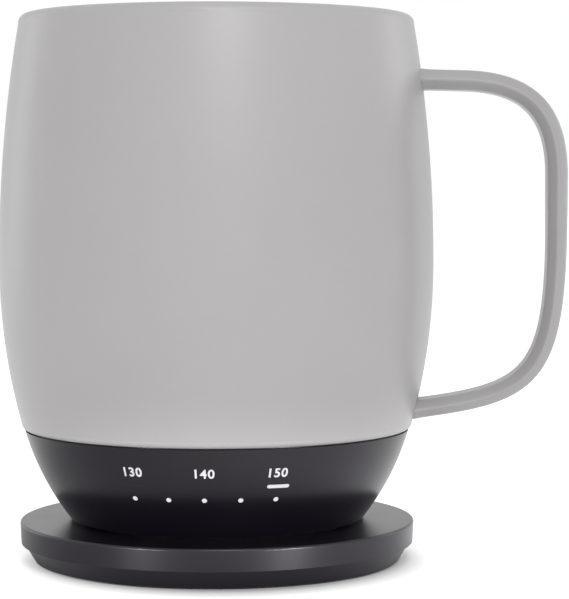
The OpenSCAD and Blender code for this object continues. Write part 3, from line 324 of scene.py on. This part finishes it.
# Cold-drawn steel of screws, springs and the jacket ring: bright with faint drawing marks
def drawn_steel():
    material, tree, spot = blank_material("drawn_steel")
    marks = add(tree, "ShaderNodeTexNoise", {"Vector": spot, "Scale": per(0.8), "Detail": 5.0}).outputs["Fac"]
    finish(tree, (marks, "#a9a9a6", "#cfcfcb"), (marks, 0.22, 0.42), {"Metallic": 1.0})
    return material


# Rolled nickel strip: paler and smoother than the steel
def nickel_strip():
    material, tree, spot = blank_material("nickel_strip")
    marks = add(tree, "ShaderNodeTexNoise", {"Vector": spot, "Scale": per(0.5), "Detail": 3.0}).outputs["Fac"]
    finish(tree, (marks, "#b9b6ae", "#d4d1c9"), (marks, 0.25, 0.38), {"Metallic": 1.0})
    return material


# Rolled aluminium sheet: pale, with lines along the rolling direction
def rolled_aluminium():
    material, tree, spot = blank_material("rolled_aluminium")
    drawn = add(tree, "ShaderNodeMapping", {"Vector": spot, "Scale": (1.0, 0.04, 1.0)}).outputs[0]
    lines = add(tree, "ShaderNodeTexNoise", {
        "Vector": drawn, "Scale": per(0.4), "Detail": 3.0}).outputs["Fac"]
    finish(tree, (lines, "#c3c4c5", "#dcdddd"), (lines, 0.25, 0.45), {"Metallic": 1.0})
    return material


# Printed circuit board: green solder mask, paler over its copper tracks
def green_board():
    material, tree, spot = blank_material("green_board")
    tracks = add(tree, "ShaderNodeTexBrick", {
        "Vector": spot, "Scale": per(12), "Mortar Size": 0.03,
        "Color1": (0, 0, 0, 1), "Color2": (0, 0, 0, 1), "Mortar": (1, 1, 1, 1)}).outputs["Fac"]
    finish(tree, (tracks, "#17472f", "#2b6b48"), (tracks, 0.3, 0.42), {"IOR": 1.55, "Coat Weight": 0.3})
    return material


# Polyimide film: amber, with darker conductor tracks showing through
def amber_film():
    material, tree, spot = blank_material("amber_film")
    tracks = add(tree, "ShaderNodeTexWave", {
        "Vector": spot, "Scale": per(9), "Distortion": 1.5}).outputs["Fac"]
    finish(tree, (tracks, "#9c5a1c", "#c98a35"), (tracks, 0.28, 0.4), {"IOR": 1.6})
    return material


# Copper lead: warm metal with a stranded twist
def copper_strand():
    material, tree, spot = blank_material("copper_strand")
    twist = add(tree, "ShaderNodeTexWave", {"Vector": spot, "Scale": per(1.2), "Distortion": 1.0},
                bands_direction="DIAGONAL").outputs["Fac"]
    finish(tree, (twist, "#8f4f2a", "#c77f4c"), (twist, 0.25, 0.45), {"Metallic": 1.0})
    return material


# Heat-shrunk sleeve on a battery cell: glossy blue film with slight creases
def blue_sleeve():
    material, tree, spot = blank_material("blue_sleeve")
    crease = add(tree, "ShaderNodeTexNoise", {"Vector": spot, "Scale": per(4), "Detail": 3.0}).outputs["Fac"]
    finish(tree, (crease, "#2d5688", "#3d6da3"), (crease, 0.22, 0.34), {"IOR": 1.52, "Coat Weight": 0.4},
           [(crease, 0.03)])
    return material


# Pressed fibre insulation: pale, rough and fluffy
def pressed_felt():
    material, tree, spot = blank_material("pressed_felt")
    fibre = add(tree, "ShaderNodeTexNoise", {
        "Vector": spot, "Scale": per(0.7), "Detail": 6.0, "Distortion": 1.0}).outputs["Fac"]
    finish(tree, (fibre, "#c9c4b8", "#e6e2d8"), (fibre, 0.85, 0.98), {"Sheen Weight": 0.4}, [(fibre, 0.15)])
    return material


# White moulded package of a light-emitting diode, lit
def led_package():
    material, tree, spot = blank_material("led_package")
    grain = add(tree, "ShaderNodeTexNoise", {"Vector": spot, "Scale": per(0.3), "Detail": 2.0}).outputs["Fac"]
    finish(tree, (grain, "#e6e0cc", "#f3eedd"), (grain, 0.3, 0.4),
           {"IOR": 1.5, "Emission Color": srgb("#fff6df"), "Emission Strength": 0.4})
    return material


def skin(node):
    """Search tree of a CAD node's surface."""
    mesh = frame["nodes"][node].data
    return BVHTree.FromPolygons([v.co for v in mesh.vertices], [p.vertices for p in mesh.polygons])


def on_skin(tree, azimuth, z):
    """Point and outward normal where a level line at an azimuth meets a round surface from outside."""
    outward = Vector((math.cos(azimuth), math.sin(azimuth), 0))
    start = outward * OUTSIDE * MM + Vector((0, 0, z))
    point, normal, _, _ = tree.ray_cast(start, -outward)
    return point, normal


def bezier(p, t):
    """Point on a cubic curve."""
    s = 1 - t
    return s ** 3 * p[0] + 3 * s * s * t * p[1] + 3 * s * t * t * p[2] + t ** 3 * p[3]


def strap_path():
    """Centre line of the handle from one weld to the other, and the heights between which it thins."""
    shell = skin("outer_shell")
    seam_z, rim_z = (corner.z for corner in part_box("outer_shell"))
    grip_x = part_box("handle")[1].x - STRAP_T * MM / 2
    top_root = on_skin(shell, 0, rim_z - TOP_ARM_DROP * MM)[0]
    low_root = on_skin(shell, 0, seam_z + LOW_ARM_RISE * MM)[0]
    top_arm = Vector((math.cos(TOP_ARM_SLOPE), 0, -math.sin(TOP_ARM_SLOPE)))
    low_arm = Vector((math.cos(LOW_ARM_SLOPE), 0, math.sin(LOW_ARM_SLOPE)))
    up = Vector((0, 0, 1))
    top_x, top_z, low_x, low_z = (v * MM for v in TOP_CORNER + LOW_CORNER)
    top_end = top_root + top_arm * (grip_x - top_x - top_root.x) / top_arm.x
    low_end = low_root + low_arm * (grip_x - low_x - low_root.x) / low_arm.x
    grip_high = Vector((grip_x, 0, top_end.z - top_z))
    grip_low = Vector((grip_x, 0, low_end.z + low_z))
    upper = [top_end, top_end + top_arm * top_x * TOP_PULL, grip_high + up * top_z * TOP_PULL, grip_high]
    lower = [grip_low, grip_low - up * low_z * LOW_PULL, low_end + low_arm * low_x * LOW_PULL, low_end]
    sink = ROOT_SINK * MM
    steps = [i / PATH_STEPS for i in range(PATH_STEPS)]
    points = [(top_root - top_arm * sink).lerp(top_end, t) for t in steps]
    points += [bezier(upper, t) for t in steps]
    points += [grip_high.lerp(grip_low, t) for t in steps]
    points += [bezier(lower, t) for t in steps]
    points += [low_end.lerp(low_root - low_arm * sink, t) for t in steps + [1.0]]
    return points, grip_high.z, low_end.z


def strap_tree(material):
    """Geometry Nodes tree that sweeps a lens-shaped strap section along a path."""
    tree = bpy.data.node_groups.new("strap_sweep", "GeometryNodeTree")
    tree.interface.new_socket("Path", in_out="INPUT", socket_type="NodeSocketGeometry")
    for name in ("Width", "Thickness", "Bevel", "Ridge", "Ease"):
        tree.interface.new_socket(name, in_out="INPUT", socket_type="NodeSocketFloat")
    tree.interface.new_socket("Strap", in_out="OUTPUT", socket_type="NodeSocketGeometry")
    given = add(tree, "NodeGroupInput").outputs
    flare = add(tree, "GeometryNodeInputNamedAttribute", {"Name": "flare"}, data_type="FLOAT")
    path = add(tree, "GeometryNodeMeshToCurve", {"Mesh": given["Path"]})
    level = add(tree, "GeometryNodeSetCurveNormal", {"Curve": path.outputs[0], "Normal": (0, 1, 0)},
                mode="FREE")
    ring = add(tree, "GeometryNodeCurvePrimitiveCircle", {"Resolution": SECTION_POINTS, "Radius": 1.0})
    place = add(tree, "ShaderNodeSeparateXYZ", {0: add(tree, "GeometryNodeInputPosition").outputs[0]})
    half_w = add(tree, "ShaderNodeMath", {0: given["Width"], 1: 0.5}, operation="MULTIPLY")
    half_t = add(tree, "ShaderNodeMath", {0: given["Thickness"], 1: 0.5}, operation="MULTIPLY")
    slope = add(tree, "ShaderNodeMath", {0: half_t.outputs[0], 1: given["Bevel"]}, operation="DIVIDE")
    across = add(tree, "ShaderNodeMath", {0: place.outputs["X"], 1: half_w.outputs[0]}, operation="MULTIPLY")
    side = add(tree, "ShaderNodeMath", {0: across.outputs[0]}, operation="ABSOLUTE")
    inward = add(tree, "ShaderNodeMath", {0: half_w.outputs[0], 1: side.outputs[0]}, operation="SUBTRACT")
    beyond = add(tree, "ShaderNodeMath", {0: given["Ridge"], 1: 2.0, 2: inward.outputs[0]},
                 operation="MULTIPLY_ADD")
    square = add(tree, "ShaderNodeMath", {0: inward.outputs[0], 1: beyond.outputs[0]}, operation="MULTIPLY")
    round_in = add(tree, "ShaderNodeMath", {0: square.outputs[0]}, operation="SQRT")
    bevel = add(tree, "ShaderNodeMath", {0: round_in.outputs[0], 1: slope.outputs[0]}, operation="MULTIPLY")
    rise = add(tree, "ShaderNodeMath", {0: bevel.outputs[0], 1: half_t.outputs[0], 2: given["Ease"]},
               operation="SMOOTH_MIN")
    face = add(tree, "ShaderNodeMath", {0: place.outputs["Y"]}, operation="SIGN")
    through = add(tree, "ShaderNodeMath", {0: rise.outputs[0], 1: face.outputs[0]}, operation="MULTIPLY")
    section = add(tree, "ShaderNodeCombineXYZ", {"X": across.outputs[0], "Y": through.outputs[0]})
    lens = add(tree, "GeometryNodeSetPosition", {"Geometry": ring.outputs[0], "Position": section.outputs[0]})
    swept = add(tree, "GeometryNodeCurveToMesh", {
        "Curve": level.outputs[0], "Profile Curve": lens.outputs[0], "Scale": flare.outputs[0],
        "Fill Caps": True})
    smooth = add(tree, "GeometryNodeSetShadeSmooth", {"Geometry": swept.outputs[0]})
    real = add(tree, "GeometryNodeRealizeInstances", {"Geometry": smooth.outputs[0]})
    done = add(tree, "GeometryNodeSetMaterial", {"Geometry": real.outputs[0], "Material": material})
    add(tree, "NodeGroupOutput", {"Strap": done.outputs[0]})
    return tree


def dot_tree(material):
    """Geometry Nodes tree that sets low lens caps along a level arc, each square to a leaning wall."""
    tree = bpy.data.node_groups.new("dot_row", "GeometryNodeTree")
    tree.interface.new_socket("Start", in_out="INPUT", socket_type="NodeSocketGeometry")
    tree.interface.new_socket("Count", in_out="INPUT", socket_type="NodeSocketInt")
    for name in ("Pitch", "First", "Radius", "Height", "Lean", "Diameter", "Dome", "Tall"):
        tree.interface.new_socket(name, in_out="INPUT", socket_type="NodeSocketFloat")
    tree.interface.new_socket("Dots", in_out="OUTPUT", socket_type="NodeSocketGeometry")
    given = add(tree, "NodeGroupInput").outputs
    step = add(tree, "GeometryNodeInputIndex").outputs[0]
    along = add(tree, "ShaderNodeMath", {0: step, 1: given["Pitch"], 2: given["First"]},
                operation="MULTIPLY_ADD")
    cos = add(tree, "ShaderNodeMath", {0: along.outputs[0]}, operation="COSINE")
    sin = add(tree, "ShaderNodeMath", {0: along.outputs[0]}, operation="SINE")
    x = add(tree, "ShaderNodeMath", {0: cos.outputs[0], 1: given["Radius"]}, operation="MULTIPLY")
    y = add(tree, "ShaderNodeMath", {0: sin.outputs[0], 1: given["Radius"]}, operation="MULTIPLY")
    spot = add(tree, "ShaderNodeCombineXYZ", {"X": x.outputs[0], "Y": y.outputs[0], "Z": given["Height"]})
    row = add(tree, "GeometryNodePoints", {"Count": given["Count"], "Position": spot.outputs[0]})
    half = add(tree, "ShaderNodeMath", {0: given["Diameter"], 1: 0.5}, operation="MULTIPLY")
    ball = add(tree, "GeometryNodeMeshUVSphere", {
        "Segments": DOT_SEGMENTS, "Rings": DOT_RINGS, "Radius": half.outputs[0]})
    smooth = add(tree, "GeometryNodeSetShadeSmooth", {"Geometry": ball.outputs[0]})
    flat = add(tree, "ShaderNodeMath", {0: given["Dome"], 1: half.outputs[0]}, operation="DIVIDE")
    size = add(tree, "ShaderNodeCombineXYZ", {"X": given["Tall"], "Y": 1.0, "Z": flat.outputs[0]})
    turn = add(tree, "ShaderNodeCombineXYZ", {"Y": given["Lean"], "Z": along.outputs[0]})
    caps = add(tree, "GeometryNodeInstanceOnPoints", {
        "Points": row.outputs[0], "Instance": smooth.outputs[0],
        "Rotation": turn.outputs[0], "Scale": size.outputs[0]})
    real = add(tree, "GeometryNodeRealizeInstances", {"Geometry": caps.outputs[0]})
    done = add(tree, "GeometryNodeSetMaterial", {"Geometry": real.outputs[0], "Material": material})
    add(tree, "NodeGroupOutput", {"Dots": done.outputs[0]})
    return tree


def grown(name, tree, mesh, material, **sizes):
    """Plain mesh object made by a Geometry Nodes tree from a start mesh and named sizes."""
    seed = placed(name + "_seed", mesh)
    nodes = seed.modifiers.new(name, "NODES")
    nodes.node_group = tree
    for item in tree.interface.items_tree:
        if item.in_out == "INPUT" and item.name in sizes:
            nodes[item.identifier] = sizes[item.name]
    result = plain_mesh(seed)
    seed.modifiers.remove(nodes)
    bpy.data.objects.remove(seed)
    # The tree's mesh starts with an empty slot, so its one material is put in again
    result.materials.clear()
    result.materials.append(material)
    return placed(name, result)


def make_handle(material):
    """Smooth strap handle that thins to its low end and flares a little where it is welded to the shell."""
    points, thick_z, thin_z = strap_path()
    mesh = bpy.data.meshes.new("strap_path")
    mesh.from_pydata(points, [(i, i + 1) for i in range(len(points) - 1)], [])
    reach = [0.0]
    for a, b in zip(points, points[1:]):
        reach.append(reach[-1] + (b - a).length)
    flare = mesh.attributes.new("flare", "FLOAT", "POINT")
    for i, r in enumerate(reach):
        end = min(r, reach[-1] - r) / MM - ROOT_SINK
        weld = 1 + ROOT_FLARE * math.exp(-max(end, 0) / (ROOT_FLARE_REACH / 2))
        fall = min(max((thick_z - points[i].z) / (thick_z - thin_z), 0), 1)
        flare.data[i].value = weld * (1 + (STRAP_LOW_T / STRAP_T - 1) * fall)
    strap = grown("handle_strap", strap_tree(material), mesh, material,
                  Width=STRAP_W * MM, Thickness=STRAP_T * MM, Bevel=STRAP_BEVEL * MM,
                  Ridge=STRAP_RIDGE * MM, Ease=STRAP_EASE * MM)
    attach(strap, "mug")
    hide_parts("handle")


def make_dots(material):
    """Lens caps over the row of dots."""
    point, normal = on_skin(skin("base_collar"), 0, foot_z() + DOT_H * MM)
    dots = grown("dot_caps", dot_tree(material), bpy.data.meshes.new("dot_start"), material,
                 Count=DOT_COUNT, Pitch=DOT_PITCH, First=-math.pi / 2 - DOT_PITCH * (DOT_COUNT - 1) / 2,
                 Radius=point.x, Height=point.z, Lean=math.acos(normal.z),
                 Diameter=DOT_D * MM, Dome=DOT_DOME * MM, Tall=DOT_TALL)
    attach(dots, "mug")


def upper_edge(r, z):
    """Where a point of the upper shell goes, in millimetres from the axis and the floor."""
    if r < RIM_R:
        return r, z
    if r < UNDER_FROM - TIGHT_R / 2:
        return r, max(z, TIGHT_LOW)
    play = TOP_EDGE_R + RIM_PLAY
    if r > COASTER_R - play and z > COASTER_H - play:
        softer = SOFT_EDGE_R / TOP_EDGE_R
        r = COASTER_R - (COASTER_R - r) * softer
        z = COASTER_H - (COASTER_H - z) * softer
    if z > WALL_LOW:
        return r - WALL_LEAN * (COASTER_H - z) / (COASTER_H - WALL_LOW), z
    tighter = TIGHT_R / UNDER_R
    edge_mid = UNDER_FROM + UNDER_R - WALL_LEAN - TIGHT_R
    return edge_mid + (r - UNDER_FROM) * tighter, TIGHT_LOW + TIGHT_R + (z - WALL_LOW) * tighter


def lower_edge(r, z):
    """Where a point of the lower shell goes, in millimetres from the axis and the floor."""
    if r > RIM_R + RIM_PLAY:
        return r + FLARE_TOP[0], z + FLARE_TOP[1]
    if r > FLARE_FROM and z < TIGHT_R:
        return r + FLARE_FOOT, z
    return r, z


def moved(point, edge):
    """Where a point of a coaster shell goes by an edge rule, which fades out towards the inlet."""
    aside = abs(point.x) / MM if point.y > 0 else math.inf
    share = min(max((aside - INLET_CLEAR) / INLET_EASE, 0), 1)
    r = math.hypot(point.x, point.y) / MM
    if share == 0 or r <= FLARE_FROM:
        return point
    new_r, new_z = edge(r, point.z / MM)
    return point.lerp(Vector((point.x * new_r / r, point.y * new_r / r, new_z * MM)), share)


def stand_in(node, name, material, edge=None):
    """Piece of the coaster that stands for a solid: its mesh in one skin, with its edge moved by a rule."""
    mesh = frame["nodes"][node].data.copy()
    mesh.name = name
    if edge:
        for v in mesh.vertices:
            v.co = moved(v.co, edge)
    mesh.update()
    smooth = [n.vector.copy() for n in mesh.corner_normals]
    joined = bmesh.new()
    joined.from_mesh(mesh)
    bmesh.ops.remove_doubles(joined, verts=joined.verts, dist=WELD * MM)
    joined.to_mesh(mesh)
    joined.free()
    mesh.normals_split_custom_set(smooth)
    mesh.materials.clear()
    mesh.materials.append(material)
    piece = placed(name, mesh)
    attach(piece, "coaster")
    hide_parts(node)
    return piece


def make_spring(node, name, material):
    """Spring under a charging pin: the stand-in for its CAD node, with a mesh of its own."""
    coil = stand_in(node, name, material)
    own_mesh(coil)


def scale_numbers(material):
    """Plain numbers printed on the collar above every second dot, wrapped on its surface."""
    collar = skin("base_collar")
    base = foot_z() + NUMBER_H * MM
    for i, number in enumerate(SCALE_NUMBERS):
        azimuth = -math.pi / 2 + (i - (len(SCALE_NUMBERS) - 1) / 2) * NUMBER_PITCH
        curve = bpy.data.curves.new("scale_" + number, "FONT")
        curve.body = number
        curve.align_x = "CENTER"
        curve.space_character = NUMBER_SPACING
        curve.size = NUMBER_CAP * MM / FONT_CAP_SHARE
        curve.offset = NUMBER_BOLD * MM
        curve.extrude = INK_T * MM / 2
        curve.resolution_u = NUMBER_CURVE_STEPS
        flat = placed("scale_flat", curve)
        mesh = plain_mesh(flat)
        bpy.data.objects.remove(flat)
        middle, normal = on_skin(collar, azimuth, base)
        lean = math.hypot(normal.x, normal.y)
        for v in mesh.vertices:
            z = base + (v.co.y - NUMBER_CAP * MM / 2) * lean
            around = azimuth + v.co.x / math.hypot(middle.x, middle.y)
            point, out = on_skin(collar, around, z)
            v.co = point + out * (v.co.z + INK_T * MM / 2)
        mesh.materials.append(material)
        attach(placed("scale_" + number, mesh), "mug")


def dress_nodes(finishes):
    """Gives every CAD node the finish of its material slot."""
    for part in frame["record"]["subparts"]:
        mesh = frame["nodes"][part["node"]].data
        mesh.materials.clear()
        mesh.materials.append(finishes[part["material_slot"]])


def make_camera():
    """Camera at the photograph's place, aimed a little beside the mug's axis."""
    data = bpy.data.cameras.new("camera")
    data.lens = CAMERA_LENS
    data.sensor_width = CAMERA_SENSOR
    data.clip_start, data.clip_end = (d * MM for d in CAMERA_SEES)
    camera = placed("camera", data)
    a = CAMERA_AZIMUTH
    place = Vector((math.sin(a) * CAMERA_DISTANCE, -math.cos(a) * CAMERA_DISTANCE, CAMERA_HEIGHT))
    camera.location = place * MM
    camera.rotation_euler = (math.pi / 2 - CAMERA_PITCH, 0, a - CAMERA_YAW)
    bpy.context.scene.camera = camera


def softbox(name, azimuth, elevation, aim, distance, size, watts, spread):
    """Flat studio light that looks at a height on the mug's axis, as wide as its spread lets it."""
    data = bpy.data.lights.new(name, "AREA")
    data.shape = "RECTANGLE"
    data.size, data.size_y = (s * MM for s in size)
    data.energy = watts
    data.spread = math.radians(spread)
    lamp = placed(name, data)
    a, e = math.radians(azimuth), math.radians(elevation)
    back = Vector((math.sin(a) * math.cos(e), -math.cos(a) * math.cos(e), math.sin(e)))
    lamp.location = Vector((0, 0, aim * MM)) + back * distance * MM
    lamp.rotation_euler = back.to_track_quat("Z", "Y").to_euler()
    lamp.visible_camera = False


def seen_mask(tree):
    """Mask that is 1 for what is seen, straight, mirrored or through glass, and 0 for what only lights."""
    path = add(tree, "ShaderNodeLightPath").outputs
    seen = add(tree, "ShaderNodeMath", {0: path["Is Camera Ray"], 1: path["Is Glossy Ray"]},
               operation="MAXIMUM")
    seen = add(tree, "ShaderNodeMath", {0: seen.outputs[0], 1: path["Is Transmission Ray"]},
               operation="MAXIMUM")
    return seen.outputs[0]


def stretched_distance(tree, spot, centre, stretch):
    """Distance from a point of the floor, with the floor stretched along its two axes."""
    middle = [c * MM for c in centre] + [0]
    past = add(tree, "ShaderNodeVectorMath", {0: spot, 1: middle}, operation="SUBTRACT")
    pulled = add(tree, "ShaderNodeVectorMath", {0: past.outputs[0], 1: (*stretch, 1)}, operation="MULTIPLY")
    return add(tree, "ShaderNodeVectorMath", {0: pulled.outputs[0]}, operation="LENGTH").outputs["Value"]


# White paper sweep: near the coaster its own glow is left out, which paints a contact shadow there over the
# real shade, and it is seen as white further out
def white_sweep():
    material, tree, spot = blank_material("white_sweep")
    away = stretched_distance(tree, spot, SHADOW_SHIFT, (SHADOW_NARROW, 1))
    # Painted contact shadow: the glow that is seen fades out towards the coaster
    clear = add(tree, "ShaderNodeMapRange", {
        "Value": away, "From Min": SHADOW_FROM * MM, "From Max": SHADOW_TO * MM})
    # Painted shade in what gloss mirrors: the floor's glow fades out further from the coaster
    near = add(tree, "ShaderNodeMapRange", {
        "Value": away, "From Min": SHADOW_FROM * MM, "From Max": MIRROR_TO * MM})
    # Painted shade patch left of the mug, dimming only what gloss mirrors of the floor
    beside = stretched_distance(tree, spot, MIRROR_SHADE_AT, (1, MIRROR_SHADE_LONG))
    shade = add(tree, "ShaderNodeMapRange", {
        "Value": beside, "From Min": MIRROR_SHADE[0] * MM, "From Max": MIRROR_SHADE[1] * MM,
        "To Min": MIRROR_LEVEL[0], "To Max": MIRROR_LEVEL[1]})
    mirrored = add(tree, "ShaderNodeMath", {0: near.outputs[0], 1: shade.outputs[0]}, operation="MULTIPLY")
    gloss = add(tree, "ShaderNodeLightPath").outputs["Is Glossy Ray"]
    level = add(tree, "ShaderNodeMix", {0: gloss, 2: clear.outputs[0], 3: mirrored.outputs[0]})
    lift = add(tree, "ShaderNodeMapRange", {
        "Value": seen_mask(tree), "To Min": FLOOR_GIVES, "To Max": FLOOR_SHOWS})
    glow = add(tree, "ShaderNodeMath", {0: level.outputs[0], 1: lift.outputs[0]}, operation="MULTIPLY")
    paper = add(tree, "ShaderNodeBsdfDiffuse", {"Color": srgb("#eaeaea")})
    white = add(tree, "ShaderNodeEmission", {"Color": (1, 1, 1, 1), "Strength": glow.outputs[0]})
    both = add(tree, "ShaderNodeAddShader", {0: paper.outputs[0], 1: white.outputs[0]})
    add(tree, "ShaderNodeOutputMaterial", {"Surface": both.outputs[0]})
    return material


def make_stage():
    """White floor, white surroundings and soft studio light."""
    mesh = bpy.data.meshes.new("floor")
    r = FLOOR_REACH * MM
    mesh.from_pydata([(-r, -r, 0), (r, -r, 0), (r, r, 0), (-r, r, 0)], [], [(0, 1, 2, 3)])
    mesh.materials.append(white_sweep())
    placed("floor", mesh)

    world = bpy.data.worlds.new("studio")
    bpy.context.scene.world = world
    world.use_nodes = True
    tree = world.node_tree
    tree.nodes.clear()
    level = add(tree, "ShaderNodeMapRange", {
        "Value": seen_mask(tree), "To Min": WORLD_GIVES, "To Max": 1.0})
    air = add(tree, "ShaderNodeBackground", {"Color": (1, 1, 1, 1), "Strength": level.outputs[0]})
    add(tree, "ShaderNodeOutputWorld", {"Surface": air.outputs[0]})

    for name, setting in LAMPS.items():
        softbox(name, *setting)


make_camera()
make_stage()
acrylic = lit_acrylic()
abs_shell = black_abs()
steel = drawn_steel()
dress_nodes({
    "body_coat": grey_powder_coat("body_powder_coat", "#aeacad", "#b6b4b5"),
    "cup_coat": white_ceramic_coat(),
    "steel": steel,
    "black_plastic": abs_shell,
    "inner_plastic": inner_abs(),
    "silicone": black_silicone(),
    "light_guide": acrylic,
    "led": led_package(),
    "film": amber_film(),
    "circuit_board": green_board(),
    "copper": copper_strand(),
    "nickel": nickel_strip(),
    "cell_can": blue_sleeve(),
    "spreader": rolled_aluminium(),
    "felt": pressed_felt(),
    "gold": gold_plate(),
})
make_handle(grey_powder_coat("handle_powder_coat", "#a6a4a5", "#aeacad"))
make_dots(acrylic)
stand_in("coaster_top", "coaster_upper_shell", abs_shell, upper_edge)
stand_in("coaster_base", "coaster_lower_shell", abs_shell, lower_edge)
make_spring("inner_pin_spring", "inner_pin_coil", steel)
make_spring("outer_pin_spring", "outer_pin_coil", steel)
scale_numbers(white_ink())

bpy.context.scene.view_settings.view_transform = "Standard"
